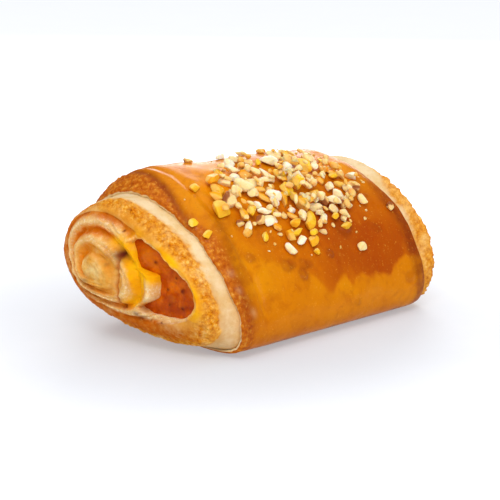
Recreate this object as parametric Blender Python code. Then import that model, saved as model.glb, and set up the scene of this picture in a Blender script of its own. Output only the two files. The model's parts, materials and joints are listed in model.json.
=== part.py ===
"""Danish pastry roll with an apricot filling and chopped nuts, as two solids.

Lengths are in millimetres until the last step, which turns them into metres.
X runs along the roll, the glazed front faces -Y and Z is up.
"""

import math

import bmesh
import bpy
import numpy as np

MM = 0.001

# Named sizes of the whole roll
BIAS = 0.16
SHIFT_X = -4.976
SHIFT_Y = 9.672
AXIS = (-3.0, 25.0)
BASE_CUT = 0.0

# Outer wrap: where it starts and ends along the roll, and its dome section
WRAP_LEFT = -43.0
WRAP_RIGHT = 50.5
SHOULDER = 10.5
FRONT_HALF = 50.5
BACK_HALF = 30.0
CREST_LEFT = 60.2
CREST_RIGHT = 56.8
DOME_POWER = 1.66
WIDEST = 4.8
BACK_WIDEST = 20.0
LIP_TOP_LEFT = 52.6
LIP_TOP_RIGHT = 54.4
LIP_THICK = 2.2
LIP_LIFT = 2.4

# Inner roll: rim crest at each end, and the inner edge of the rim. Each oval has a
# middle y and z, its front, back, upper and lower half sizes, a tilt and a power
RIM_LEFT_X = -50.0
RIM_RIGHT_X = 58.4
RIM_LEFT = (1.6, 25.0, 48.3, 23.4, 27.6, 15.6, 20.0, 1.77)
RIM_RIGHT = (-5.8, 23.3, 42.2, 30.4, 29.6, 26.0, 19.0, 1.97)
EDGE_OVAL = (0.9, 33.8, 43.6, 16.4, 12.8, 19.1, 19.8, 1.85)
EDGE_LEFT_X = -54.6
EDGE_RIGHT_X = 62.6

# Spiral that the end faces show
SPIRAL = (5.9, 25.3)
SPIRAL_RISE = 3.0
SPIRAL_PITCH = 0.33
SPIRAL_START = 0.28
SPIRAL_REACH = 31.0
RIDGE = 1.5

# Filling: a crescent between the spiral and the rim
FILL_LOW = math.radians(-21.0)
FILL_HIGH = math.radians(36.0)
FILL_INNER = 30.0
FILL_NECK = 20.8
FILL_FLOOR = 11.6
FILL_CEILING = 14.2
FILL_GAP = 0.3
FILL_LEFT_X = -52.6
FILL_RIGHT_X = 60.6

# Chopped nuts: the pile on the front shoulder, angles in degrees
NUT_SEED = 41
NUT_COUNT = 93
PILE_X = 6.0
PILE_ANGLE = 51.0
PILE_LENGTH = 37.0
PILE_ARC = 37.0
PILE_LEAN = 0.22
NUT_SUNK = 0.17

# Stray nuts: place along the roll, angle, length, width, spin in degrees
STRAY_NUTS = (
    (-31.2, 64.0, 5.6, 3.9, 20.0),
    (-41.2, 40.0, 4.6, 3.6, 80.0),
    (-40.4, 29.0, 4.8, 3.8, 35.0),
    (-25.8, 31.5, 4.4, 3.1, 10.0),
    (-4.0, 19.0, 6.4, 3.6, 15.0),
    (-9.8, 11.0, 6.5, 4.6, 140.0),
    (1.2, 12.5, 6.6, 4.8, 20.0),
    (1.0, 7.0, 3.7, 3.1, 0.0),
    (23.5, 4.0, 4.7, 4.3, 70.0),
    (37.0, 30.5, 5.5, 4.8, 120.0),
    (47.6, 22.5, 4.7, 4.5, 0.0),
    (20.5, 16.5, 6.2, 4.2, 5.0),
    (-15.5, 96.0, 4.2, 3.4, 0.0),
    (3.0, 100.0, 6.4, 4.4, 30.0),
    (12.5, 99.0, 5.6, 4.4, 60.0),
    (23.5, 99.0, 5.4, 3.8, 90.0),
    (-2.0, 75.0, 4.6, 3.4, 0.0),
    (-8.2, 57.5, 8.6, 5.4, 10.0),
    (-13.0, 29.0, 8.2, 4.8, 0.0),
    (0.2, 41.0, 8.8, 4.0, 75.0),
)

# Mesh steps
AROUND = 48
TABLE = 720


def smooth_step(low, high, value):
    """Rise from 0 to 1 between two values."""
    t = np.clip((value - low) / (high - low), 0.0, 1.0)
    return t * t * (3.0 - 2.0 * t)


def wobble(x, y, z):
    """Slow uneven swelling of baked dough, between about -1 and 1."""
    a = np.sin(0.083 * x + 0.051 * z + 1.3) * np.sin(0.071 * y - 0.04 * x + 0.4)
    b = np.sin(0.19 * x - 0.11 * y + 2.1) * np.sin(0.16 * z + 0.09 * y + 0.7)
    c = np.sin(0.37 * x + 0.22 * z) * np.sin(0.33 * y + 0.29 * z + 1.9)
    return 0.55 * a + 0.3 * b + 0.15 * c


def polar_table(points, centre, blur):
    """Reach of a closed outline from a centre, by angle from -Y over the top."""
    angle = np.arctan2(points[:, 1] - centre[1], centre[0] - points[:, 0])
    reach = np.hypot(points[:, 0] - centre[0], points[:, 1] - centre[1])
    order = np.argsort(angle)
    grid = np.linspace(-math.pi, math.pi, TABLE, endpoint=False)
    table = np.interp(grid, angle[order], reach[order], period=2.0 * math.pi)
    if blur > 0.0:
        wave = np.fft.rfft(table)
        wave *= np.exp(-0.5 * (blur * np.arange(len(wave))) ** 2)
        table = np.fft.irfft(wave, TABLE)
    return table


def reach_at(table, angle):
    """Reach of a table at any angle."""
    grid = np.linspace(-math.pi, math.pi, TABLE, endpoint=False)
    turned = np.mod(angle + math.pi, 2.0 * math.pi) - math.pi
    return np.interp(turned, grid, table, period=2.0 * math.pi)


def dome_table(front, back, top, widest, power):
    """Dome section: a low front corner, a rounder back and a flat base."""
    t = np.linspace(0.0, 2.0 * math.pi, 4 * TABLE, endpoint=False)
    c, s = np.cos(t), np.sin(t)
    facing, upper = c > 0.0, s > 0.0
    half = np.where(facing, front, back)
    level = np.where(facing, widest, BACK_WIDEST)
    upper_power = np.where(facing, power, power + 0.25)
    lower_power = np.where(facing, 2.7, 2.2)
    n = np.where(upper, upper_power, lower_power)
    up = np.where(upper, top - level, 1.15 * level + np.where(facing, 0.7, 0.0))
    y = -half * np.sign(c) * np.abs(c) ** (2.0 / n)
    z = level + up * np.sign(s) * np.abs(s) ** (2.0 / n)
    z = np.maximum(z, -0.25)
    return polar_table(np.column_stack([y, z]), AXIS, 0.095)


def oval_points(oval):
    """Outline of a tilted egg: a superellipse with a half size of its own each way."""
    middle_y, middle_z, front, back, above, below, tilt, power = oval
    t = np.linspace(0.0, 2.0 * math.pi, 4 * TABLE, endpoint=False)
    c, s = np.cos(t), np.sin(t)
    p = np.where(c > 0.0, back, front) * np.sign(c) * np.abs(c) ** (2.0 / power)
    q = np.where(s > 0.0, above, below) * np.sign(s) * np.abs(s) ** (2.0 / power)
    turn = math.radians(tilt)
    y = middle_y + p * math.cos(turn) - q * math.sin(turn)
    z = middle_z + p * math.sin(turn) + q * math.cos(turn)
    return np.column_stack([y, z])


def left_lip_table():
    """Left lip of the wrap: a dome above, and close to the inner roll underneath."""
    angle = np.linspace(-math.pi, math.pi, TABLE, endpoint=False)
    dome = dome_table(FRONT_HALF, BACK_HALF - 3.5, LIP_TOP_LEFT, 3.0, 1.7)
    under = 1.0 - smooth_step(-0.75, -0.42, angle)
    under += smooth_step(2.6, 3.0, angle)
    return dome * (1.0 - under) + np.minimum(dome, RIM_L + LIP_LIFT) * under


BODY_LEFT = dome_table(FRONT_HALF, BACK_HALF, CREST_LEFT, WIDEST, DOME_POWER)
BODY_RIGHT = dome_table(FRONT_HALF - 1.5, BACK_HALF - 1.0, CREST_RIGHT, WIDEST, 1.75)
LIP_RIGHT = dome_table(FRONT_HALF - 3.0, BACK_HALF - 2.0, LIP_TOP_RIGHT, WIDEST, 1.8)
RIM_L = polar_table(oval_points(RIM_LEFT), AXIS, 0.06)
LIP_LEFT = left_lip_table()
RIM_R = polar_table(oval_points(RIM_RIGHT), AXIS, 0.06)
EDGE = polar_table(oval_points(EDGE_OVAL), AXIS, 0.05)
EDGE_FROM_SPIRAL = polar_table(oval_points(EDGE_OVAL), SPIRAL, 0.04)


def on_section(reach, angle):
    """Points y, z at a reach and an angle about the roll's middle line."""
    y = AXIS[0] - np.cos(angle) * reach
    z = AXIS[1] + np.sin(angle) * reach
    return y, np.maximum(z, BASE_CUT)


def about_spiral(y, z):
    """Reach and angle of points about the spiral's centre."""
    return np.hypot(y - SPIRAL[0], z - SPIRAL[1]), np.arctan2(z - SPIRAL[1], SPIRAL[0] - y)


def fill_inner(angle):
    """Reach of the filling's inner side."""
    return FILL_INNER - (FILL_INNER - FILL_NECK) * smooth_step(0.13, 0.30, angle)


def fill_outer(angle):
    """Reach of the filling's outer side, just inside the rim."""
    rim = 0.965 * reach_at(EDGE_FROM_SPIRAL, angle)
    low = FILL_FLOOR / np.maximum(np.sin(-angle), 0.02)
    high = FILL_CEILING / np.maximum(np.sin(angle), 0.02)
    return np.minimum(rim, np.where(angle < 0.0, low, high))


def spiral_span(edge):
    """Reach that the turns of the spiral share out, given the reach of the rim's edge."""
    return (edge ** -4.0 + SPIRAL_REACH ** -4.0) ** -0.25


def spiral_relief(y, z):
    """Height of the rolled layers on an end face: ridges parted by grooves."""
    reach, angle = about_spiral(y, z)
    edge = reach_at(EDGE_FROM_SPIRAL, angle)
    share = reach / spiral_span(edge)
    phase = share / SPIRAL_PITCH + angle / (2.0 * math.pi) - SPIRAL_START
    ridge = (0.5 - 0.5 * np.cos(2.0 * math.pi * phase)) ** 0.8
    calm = smooth_step(0.08, 0.3, share) * (1.0 - smooth_step(0.94, 1.06, reach / edge))
    beyond = smooth_step(0.98, 1.12, share) * (1.0 - smooth_step(0.9, 1.0, reach / edge))
    return calm * (RIDGE * (ridge - 0.55)) * (1.0 - beyond) - 1.6 * beyond


def face_x(y, z, edge_x, side):
    """Place of an end face along the roll. Side is -1 at the left, 1 at the right."""
    reach, angle = about_spiral(y, z)
    share = np.clip(reach / reach_at(EDGE_FROM_SPIRAL, angle), 0.0, 1.2)
    swell = SPIRAL_RISE * (1.0 - share ** 2)
    lumps = 0.5 * wobble(3.1 * y, 2.3 * z, 40.0 * side)
    return edge_x + side * (swell + spiral_relief(y, z) + lumps)


def rim_rough(angle, place, size):
    """Crumbled edge of the rim: uneven by angle."""
    rough = np.sin(9.0 * angle + 1.7 * place) + 0.8 * np.sin(17.0 * angle + place)
    return size * (rough + 0.6 * np.sin(25.0 * angle - 2.0 * place)) / 2.4


def face_rings(angle, edge_x, side, shares):
    """Rings of an end face, which keep to the ridges and end at the rim's inner edge."""
    edge_y, edge_z = on_section(reach_at(EDGE, angle), angle)
    edge, turn = about_spiral(edge_y, edge_z)
    span = spiral_span(edge)
    rings = []
    for share in shares:
        reach = np.where(share <= 1.0, share * span, span + (share - 1.0) * (edge - span))
        y = SPIRAL[0] - np.cos(turn) * reach
        z = SPIRAL[1] + np.sin(turn) * reach
        rings.append((face_x(y, z, edge_x, side), y, z))
    return rings


def crust_reach(x, angle):
    """Reach of the glazed wrap at a place along the roll."""
    t = np.clip((x - WRAP_LEFT) / (WRAP_RIGHT - WRAP_LEFT), 0.0, 1.0)
    body = (1.0 - t) * reach_at(BODY_LEFT, angle) + t * reach_at(BODY_RIGHT, angle)
    run = SHOULDER * (1.0 + 0.7 * smooth_step(-0.3, 0.3, -np.sin(angle)))
    rise = np.clip((x - WRAP_LEFT) / run, 0.0, 1.0)
    rise = np.sin(0.5 * math.pi * rise) ** 0.9
    body = body * rise + reach_at(LIP_LEFT, angle) * (1.0 - rise)
    fall = np.clip((WRAP_RIGHT - x) / 5.0, 0.0, 1.0)
    fall = np.sqrt(1.0 - (1.0 - fall) ** 2)
    body = body * fall + reach_at(LIP_RIGHT, angle) * (1.0 - fall)
    y, z = on_section(body, angle)
    swell = 0.9 * wobble(x, y, z) * smooth_step(3.0, 14.0, z)
    crease = -0.8 * np.exp(-(((x - WRAP_LEFT - SHOULDER) / 1.8) ** 2))
    return body + swell + crease * smooth_step(6.0, 20.0, z) * rise


def crust_ring(x, angle):
    """One ring of the glazed wrap."""
    y, z = on_section(crust_reach(x, angle), angle)
    return np.full_like(angle, x), y, z


def wrap_rings(angle):
    """Rings from the left rim over the wrap to the right rim."""
    rim_l, rim_r = reach_at(RIM_L, angle), reach_at(RIM_R, angle)
    lip_l, lip_r = reach_at(LIP_LEFT, angle), reach_at(LIP_RIGHT, angle)
    edge = reach_at(EDGE, angle)
    rings = []

    def add(x, reach):
        y, z = on_section(reach, angle)
        rings.append((np.full_like(angle, 1.0) * x, y, z))

    rough = rim_rough(angle, 1.0, 0.5)
    add(EDGE_LEFT_X + 0.5 + rough, 0.62 * edge + 0.38 * rim_l)
    add(0.45 * EDGE_LEFT_X + 0.55 * RIM_LEFT_X + rough, 0.25 * edge + 0.75 * rim_l)
    add(RIM_LEFT_X + 0.6 * rough, rim_l + 0.5 * rough)
    add(RIM_LEFT_X + 3.0, 0.8 * rim_l + 0.2 * (lip_l - LIP_THICK))
    add(WRAP_LEFT + 0.9, 0.4 * rim_l + 0.6 * (lip_l - LIP_THICK) - 0.8)
    add(WRAP_LEFT + 0.1, lip_l - LIP_THICK)
    add(WRAP_LEFT - 0.1, lip_l - 0.5)
    for x in (-42.4, -40.6, -38.0, -35.2, -32.5, -29.5, -24.0, -16.0, -7.5, 1.0, 9.5):
        rings.append(crust_ring(x, angle))
    for x in (17.5, 25.5, 33.0, 39.5, 44.5, 48.0, 50.0):
        rings.append(crust_ring(x, angle))
    add(WRAP_RIGHT + 0.1, lip_r - 0.8)
    add(WRAP_RIGHT - 0.1, lip_r - LIP_THICK - 0.2)
    add(WRAP_RIGHT - 0.9, 0.5 * rim_r + 0.5 * (lip_r - LIP_THICK) - 0.8)
    rough = rim_rough(angle, 2.0, 0.5)
    add(WRAP_RIGHT + 2.6, 0.85 * rim_r + 0.15 * (lip_r - LIP_THICK))
    add(RIM_RIGHT_X + 0.6 * rough, rim_r + 0.5 * rough)
    add(0.5 * RIM_RIGHT_X + 0.5 * EDGE_RIGHT_X + rough, 0.3 * edge + 0.7 * rim_r)
    add(EDGE_RIGHT_X - 0.3 + rough, 0.7 * edge + 0.3 * rim_r)
    return rings


def placed(x, y, z):
    """Final place of a point: cut on the bias, centred, and in metres."""
    x, y, z = np.broadcast_arrays(x, y, z)
    return np.column_stack([x - BIAS * y + SHIFT_X, y + SHIFT_Y, z]) * MM


def mesh_object(name, points, faces):
    """Object with a mesh from points and faces."""
    mesh = bpy.data.meshes.new(name)
    mesh.from_pydata([tuple(p) for p in points], [], faces)
    mesh.validate()
    mesh.update()
    made = bpy.data.objects.new(name, mesh)
    bpy.context.scene.collection.objects.link(made)
    return made


def roll_mesh(name):
    """Closed loft of the whole roll, from the left spiral's centre to the right one's."""
    angle = np.linspace(0.0, 2.0 * math.pi, AROUND, endpoint=False)
    shares = np.append(np.linspace(0.09, 1.0, 13), (1.5, 2.0))
    left = face_rings(angle, EDGE_LEFT_X, -1, shares)
    right = face_rings(angle, EDGE_RIGHT_X, 1, shares[::-1])
    rings = left + wrap_rings(angle) + right
    points = [placed(*ring) for ring in rings]
    first = float(face_x(np.array(SPIRAL[0]), np.array(SPIRAL[1]), EDGE_LEFT_X, -1))
    last = float(face_x(np.array(SPIRAL[0]), np.array(SPIRAL[1]), EDGE_RIGHT_X, 1))
    tips = placed(np.array([first, last]), np.full(2, SPIRAL[0]), np.full(2, SPIRAL[1]))
    points = np.vstack(points + [tips])
    n, count = AROUND, len(rings)
    faces = []
    for row in range(count - 1):
        for k in range(n):
            a, b = row * n + k, row * n + (k + 1) % n
            faces.append((a, a + n, b + n))
            faces.append((a, b + n, b))
    for k in range(n):
        faces.append((count * n, k, (k + 1) % n))
        low = (count - 1) * n
        faces.append((count * n + 1, low + (k + 1) % n, low + k))
    return mesh_object(name, points, faces)


def fill_section(turns, across):
    """Grid of points y, z over the crescent, from its inner side to its outer side."""
    angle = np.linspace(FILL_LOW, FILL_HIGH, turns + 1)
    inner, outer = fill_inner(angle), fill_outer(angle)
    share = np.linspace(0.0, 1.0, across + 1)
    reach = inner[:, None] + (outer - inner)[:, None] * share[None, :]
    y = SPIRAL[0] - np.cos(angle)[:, None] * reach
    z = SPIRAL[1] + np.sin(angle)[:, None] * reach
    return y, z


def border(turns, across):
    """Grid places round the crescent's outline, in order."""
    loop = [(i, 0) for i in range(turns)] + [(turns, j) for j in range(across)]
    loop += [(i, across) for i in range(turns, 0, -1)]
    return loop + [(0, j) for j in range(across, 0, -1)]


def widened(y, z, loop, gap):
    """The same grid with its outline moved outwards by a gap."""
    rows, columns = np.array(loop).T
    spots = np.column_stack([y[rows, columns], z[rows, columns]])
    ahead = np.roll(spots, -1, axis=0) - spots
    ahead /= np.linalg.norm(ahead, axis=1)[:, None]
    out = np.column_stack([ahead[:, 1], -ahead[:, 0]])
    both = out + np.roll(out, 1, axis=0)
    both /= np.maximum((both ** 2).sum(axis=1), 0.5)[:, None]
    y, z = y.copy(), z.copy()
    y[rows, columns] += 2.0 * gap * both[:, 0]
    z[rows, columns] += 2.0 * gap * both[:, 1]
    return y, z


def fill_mesh(name, gap, left_x, right_x, lumps):
    """Crescent prism of the filling. A gap above 0 makes the cutter for its channel."""
    turns, across, along = 16, 4, 6
    y, z = fill_section(turns, across)
    loop = border(turns, across)
    if gap > 0.0:
        y, z = widened(y, z, loop, gap)
    bump = np.sin(math.pi * np.linspace(0.0, 1.0, turns + 1))[:, None]
    bump = bump * np.sin(math.pi * np.linspace(0.0, 1.0, across + 1))[None, :]
    uneven = 1.2 * wobble(5.0 * y, 4.0 * z, 9.0) + 0.6
    points = []
    for step in range(along + 1):
        t = step / along
        x = np.full_like(y, left_x + t * (right_x - left_x))
        if step == 0:
            x = x - lumps * bump * uneven
        if step == along:
            x = x + lumps * bump * uneven
        points.append(placed(x.ravel(), y.ravel(), z.ravel()))
    size = (turns + 1) * (across + 1)
    points = np.vstack(points)

    def at(step, i, j):
        return step * size + i * (across + 1) + j

    faces = []
    for i in range(turns):
        for j in range(across):
            a, b = at(0, i, j), at(0, i, j + 1)
            c, d = at(0, i + 1, j + 1), at(0, i + 1, j)
            faces.append((a, b, c, d))
            last = along * size
            faces.append((d + last, c + last, b + last, a + last))
    for step in range(along):
        for k in range(len(loop)):
            p, q = loop[k], loop[(k + 1) % len(loop)]
            faces.append((at(step, *p), at(step, *q), at(step + 1, *q), at(step + 1, *p)))
    used = sorted({v for face in faces for v in face})
    order = {v: k for k, v in enumerate(used)}
    faces = [tuple(order[v] for v in face) for face in faces]
    return mesh_object(name, points[used], faces)


def crust_frame(x, angle):
    """Point on the glazed wrap with its outward normal, before it is placed."""
    spots = []
    for dx, turn in ((0.0, 0.0), (0.6, 0.0), (0.0, 0.02)):
        y, z = on_section(crust_reach(x + dx, np.array([angle + turn])), angle + turn)
        spots.append(np.array([x + dx - BIAS * float(y[0]), float(y[0]), float(z[0])]))
    normal = np.cross(spots[1] - spots[0], spots[2] - spots[0])
    along = spots[1] - spots[0]
    return spots[0], normal / np.linalg.norm(normal), along / np.linalg.norm(along)


def nut_layout():
    """Nuts as rows: x, angle, length, width, thickness, spin, lift. Largest first."""
    rng = np.random.default_rng(NUT_SEED)
    rows = []
    for x, degrees, length, width, spin in STRAY_NUTS:
        thick = 0.62 * width
        rows.append((x, math.radians(degrees), length, width, thick, math.radians(spin), 0.0))
    lengths = np.clip(rng.gamma(9.0, 0.58, NUT_COUNT) + 1.2, 3.6, 9.2)
    for length in np.sort(lengths)[::-1]:
        for attempt in range(60):
            far = rng.random() ** 0.68
            turn = rng.uniform(0.0, 2.0 * math.pi)
            x = PILE_X + PILE_LENGTH * far * math.cos(turn)
            degrees = PILE_ANGLE + PILE_ARC * far * math.sin(turn) + PILE_LEAN * (x - PILE_X)
            angle = math.radians(degrees)
            width = length * rng.uniform(0.6, 0.92)
            lift, clear = 0.0, True
            for other in rows:
                away = math.hypot(x - other[0], 38.0 * (angle - other[1]))
                touch = 0.25 * (length + width + other[2] + other[3])
                if away < 0.56 * touch:
                    clear = False
                elif away < 0.84 * touch:
                    lift = max(lift, 0.30 * other[4])
            if clear:
                break
        else:
            continue
        thick = width * rng.uniform(0.58, 0.85)
        rows.append((x, angle, length, width, thick, rng.uniform(0.0, math.pi), lift))
    return rows


def nut_mesh(name, row, rng):
    """One chopped nut: the hull of uneven points, laid on the wrap and sunk a little."""
    x, angle, length, width, thick, spin, lift = row
    spot, normal, along = crust_frame(x, angle)
    side = np.cross(normal, along)
    lean = rng.uniform(-0.3, 0.3, 2)
    up = normal + lean[0] * along + lean[1] * side
    up /= np.linalg.norm(up)
    first = math.cos(spin) * along + math.sin(spin) * side
    first -= up * float(first @ up)
    first /= np.linalg.norm(first)
    second = np.cross(up, first)
    rays = rng.normal(size=(13, 3))
    rays /= np.linalg.norm(rays, axis=1)[:, None]
    rays = np.sign(rays) * np.abs(rays) ** 0.75
    rays *= rng.uniform(0.95, 1.12, (13, 1))
    middle = spot + normal * (lift + thick * (0.5 - NUT_SUNK))
    points = middle + 0.5 * (
        length * rays[:, :1] * first + width * rays[:, 1:2] * second + thick * rays[:, 2:] * up
    )
    points = (points + np.array([SHIFT_X, SHIFT_Y, 0.0])) * MM
    body = bmesh.new()
    for point in points:
        body.verts.new(point)
    hull = bmesh.ops.convex_hull(body, input=body.verts)
    spare = {v for v in hull["geom_interior"] + hull["geom_unused"]}
    bmesh.ops.delete(body, geom=[v for v in spare if v.is_valid], context="VERTS")
    bmesh.ops.recalc_face_normals(body, faces=body.faces)
    mesh = bpy.data.meshes.new(name)
    body.to_mesh(mesh)
    body.free()
    return bpy.data.objects.new(name, mesh)


def keep_main_body(target):
    """Drop loose scrap and sealed hollows, so that one closed body is left."""
    body = bmesh.new()
    body.from_mesh(target.data)
    left = set(body.verts)
    groups = []
    while left:
        stack = [left.pop()]
        group = set(stack)
        while stack:
            for edge in stack.pop().link_edges:
                for vert in edge.verts:
                    if vert in left:
                        left.discard(vert)
                        group.add(vert)
                        stack.append(vert)
        groups.append(group)
    groups.sort(key=len)
    spare = [vert for group in groups[:-1] for vert in group]
    bmesh.ops.delete(body, geom=spare, context="VERTS")
    body.to_mesh(target.data)
    body.free()


def fuse_nuts(dough):
    """Join the nuts to the dough with one Boolean on their collection."""
    rng = np.random.default_rng(NUT_SEED + 1)
    group = bpy.data.collections.new("nuts")
    bpy.context.scene.collection.children.link(group)
    for k, row in enumerate(nut_layout()):
        group.objects.link(nut_mesh(f"nut_{k:03d}", row, rng))
    apply_boolean(dough, "UNION", "MANIFOLD", group=group)
    for nut in list(group.objects):
        bpy.data.objects.remove(nut, do_unlink=True)
    bpy.data.collections.remove(group)
    keep_main_body(dough)


def apply_boolean(target, operation, solver, operand=None, group=None):
    """Run one Boolean on the target and apply it."""
    modifier = target.modifiers.new("Join", "BOOLEAN")
    modifier.operation = operation
    modifier.solver = solver
    if group is None:
        modifier.object = operand
    else:
        modifier.operand_type = "COLLECTION"
        modifier.collection = group
    bpy.context.view_layer.update()
    graph = bpy.context.evaluated_depsgraph_get()
    made = bpy.data.meshes.new_from_object(target.evaluated_get(graph))
    target.modifiers.clear()
    target.data = made


def material(name, colour, roughness):
    """Plain Principled material."""
    made = bpy.data.materials.new(name)
    made.use_nodes = True
    shader = made.node_tree.nodes["Principled BSDF"]
    shader.inputs["Base Color"].default_value = (*colour, 1.0)
    shader.inputs["Roughness"].default_value = roughness
    return made


def main():
    """Build both solids."""
    for old in list(bpy.data.objects):
        bpy.data.objects.remove(old, do_unlink=True)
    dough = roll_mesh("dough")
    cutter = fill_mesh("channel", FILL_GAP, -80.0, 90.0, 0.0)
    apply_boolean(dough, "DIFFERENCE", "EXACT", operand=cutter)
    bpy.data.objects.remove(cutter, do_unlink=True)
    fuse_nuts(dough)
    jam = fill_mesh("jam", 0.0, FILL_LEFT_X, FILL_RIGHT_X, 1.0)
    dough.data.materials.clear()
    dough.data.materials.append(material("glazed_dough", (0.55, 0.24, 0.04), 0.3))
    jam.data.materials.append(material("apricot_jam", (0.6, 0.12, 0.01), 0.25))


main()
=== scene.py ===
"""Danish pastry roll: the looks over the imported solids.

The roll is one sheet of laminated dough rolled round an apricot filling. Its outer wrap is
egg-washed and baked to amber, the rolled ends show the spiral of dough, and chopped nuts lie
on the front shoulder. Sizes are in millimetres until a mesh is made, which turns them into
metres. X runs along the roll, the glazed front faces -Y and Z is up. Angles turn about the
roll's middle line or its spiral: 0 at the front, a quarter turn on top, half a turn behind.
"""

import itertools
import json
import logging
import math
from dataclasses import dataclass, field
from enum import Enum

import bmesh
import bpy
import numpy as np
from mathutils import Matrix, Vector

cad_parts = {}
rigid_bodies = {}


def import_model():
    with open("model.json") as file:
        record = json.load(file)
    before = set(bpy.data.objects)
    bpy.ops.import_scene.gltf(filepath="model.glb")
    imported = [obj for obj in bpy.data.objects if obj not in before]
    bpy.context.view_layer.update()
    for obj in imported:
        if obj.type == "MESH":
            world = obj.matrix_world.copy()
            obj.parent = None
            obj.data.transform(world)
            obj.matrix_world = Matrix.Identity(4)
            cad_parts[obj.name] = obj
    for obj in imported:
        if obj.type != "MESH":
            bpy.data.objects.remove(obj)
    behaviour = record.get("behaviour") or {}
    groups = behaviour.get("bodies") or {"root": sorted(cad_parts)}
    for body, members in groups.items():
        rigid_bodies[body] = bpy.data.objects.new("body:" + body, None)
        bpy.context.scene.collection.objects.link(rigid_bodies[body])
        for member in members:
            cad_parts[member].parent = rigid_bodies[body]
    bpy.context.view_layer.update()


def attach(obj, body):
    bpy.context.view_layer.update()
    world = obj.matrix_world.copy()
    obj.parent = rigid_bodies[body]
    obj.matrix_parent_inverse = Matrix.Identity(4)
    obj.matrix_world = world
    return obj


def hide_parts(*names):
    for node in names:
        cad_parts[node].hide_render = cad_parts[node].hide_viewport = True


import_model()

Array = np.ndarray
Piece = bpy.types.Object
Socket = bpy.types.NodeSocket
Tree = bpy.types.NodeTree
Rows = tuple[tuple[float, ...], ...]
Terms = tuple[str | float | tuple[str, float, float, float, float], ...]
Stops = tuple[tuple[float, str], ...]
Paint = str | tuple[str, Stops]
Marks = dict[str, Array]
Noises = tuple[tuple[str, float, float, float, float], ...]
Constants = tuple[tuple[str, object], ...]
Layers = tuple[tuple[Terms, Paint], ...]
Sums = dict[str, tuple[tuple[str, Terms], ...]]

LOG = logging.getLogger("danish_pastry")
MM = 0.001
TURN = 2.0 * math.pi
STEPS = 720  # angles at which an outline keeps its reach


def rise(low: float, high: float, value: Array) -> Array:
    """Share that grows smoothly from 0 at the low value to 1 at the high one."""
    t = np.clip((value - low) / (high - low), 0.0, 1.0)
    return t * t * (3.0 - 2.0 * t)


def fall(low: float, high: float, value: Array) -> Array:
    """Share that drops smoothly from 1 at the low value to 0 at the high one."""
    return 1.0 - rise(low, high, value)


def dimple(distance: Array, radius: float) -> Array:
    """Round soft spot: 1 at its middle and 0 beyond about twice the radius."""
    return np.exp(-((distance / radius) ** 2))


def turned(angle: Array) -> Array:
    """Angle brought to within half a turn of 0."""
    return np.mod(angle + math.pi, TURN) - math.pi


def joined(x: Array, y: Array, z: Array) -> Array:
    """Points from their coordinates."""
    return np.stack([x, y, z], axis=-1)


def wobble(x: Array, y: Array, z: Array) -> Array:
    """Slow uneven swelling of baked dough.

    Args:
        x: Places along the roll.
        y: Places across it.
        z: Heights.

    Returns:
        The swelling, between about -1 and 1.
    """
    a = np.sin(0.083 * x + 0.051 * z + 1.3) * np.sin(0.071 * y - 0.04 * x + 0.4)
    b = np.sin(0.19 * x - 0.11 * y + 2.1) * np.sin(0.16 * z + 0.09 * y + 0.7)
    c = np.sin(0.37 * x + 0.22 * z) * np.sin(0.33 * y + 0.29 * z + 1.9)
    return 0.55 * a + 0.3 * b + 0.15 * c


def lattice_values(cells: Array, seed: int) -> Array:
    """Repeatable random values for whole-number lattice places.

    Args:
        cells: The places, as integers with x, y and z on the last axis.
        seed: Which pattern.

    Returns:
        A value from 0 to 1 at each place.
    """
    mixed = cells[..., 0] * 73856093 ^ cells[..., 1] * 19349663 ^ cells[..., 2] * 83492791
    mixed = (mixed ^ (seed * 7919 + 101)) & 0x7FFFFFFF
    for shift, factor in ((15, 73244475), (13, 59652323)):
        mixed = ((mixed ^ (mixed >> shift)) * factor) & 0x7FFFFFFF
    return ((mixed ^ (mixed >> 16)) & 0xFFFFF) / float(0xFFFFF)


def grain(points: Array, size: float, seed: int, octaves: int = 3) -> Array:
    """Layered value noise.

    Args:
        points: Places in millimetres, with x, y and z on the last axis.
        size: Width of the largest lumps, in millimetres.
        seed: Which pattern.
        octaves: How many layers, each half as wide and half as high.

    Returns:
        Noise between about -1 and 1 at each place.
    """
    total = np.zeros(points.shape[:-1])
    for layer in range(octaves):
        spot = points * (2.0**layer / size) + 17.3 * layer
        base = np.floor(spot)
        t = spot - base
        t = t * t * (3.0 - 2.0 * t)
        base = base.astype(np.int64)
        value = np.zeros(points.shape[:-1])
        for corner in itertools.product((0, 1), repeat=3):
            weight = np.prod(np.where(np.array(corner) == 1, t, 1.0 - t), axis=-1)
            value += weight * lattice_values(base + np.array(corner), seed + 31 * layer)
        total += (2.0 * value - 1.0) / 2.0**layer
    return total


def pimples(points: Array, cell: float, share: float, seed: int) -> Array:
    """Scattered round blisters.

    Args:
        points: Places in millimetres.
        cell: Spacing of the blisters, in millimetres.
        share: Share of the cells that hold one.
        seed: Which pattern.

    Returns:
        Height of the blisters, 0 to 1, at each place.
    """
    spot = points / cell
    base = np.floor(spot).astype(np.int64)
    height = np.zeros(points.shape[:-1])
    for step in itertools.product((-1, 0, 1), repeat=3):
        home = base + np.array(step)
        middle = home + np.stack([lattice_values(home, seed + k) for k in range(3)], axis=-1)
        away = np.linalg.norm(spot - middle, axis=-1)
        radius = 0.35 + 0.4 * lattice_values(home, seed + 5)
        there = lattice_values(home, seed + 9) < share
        bump = np.clip(1.0 - (away / radius) ** 2, 0.0, 1.0)
        height = np.maximum(height, np.where(there, bump * radius / 0.75, 0.0))
    return height


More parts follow.
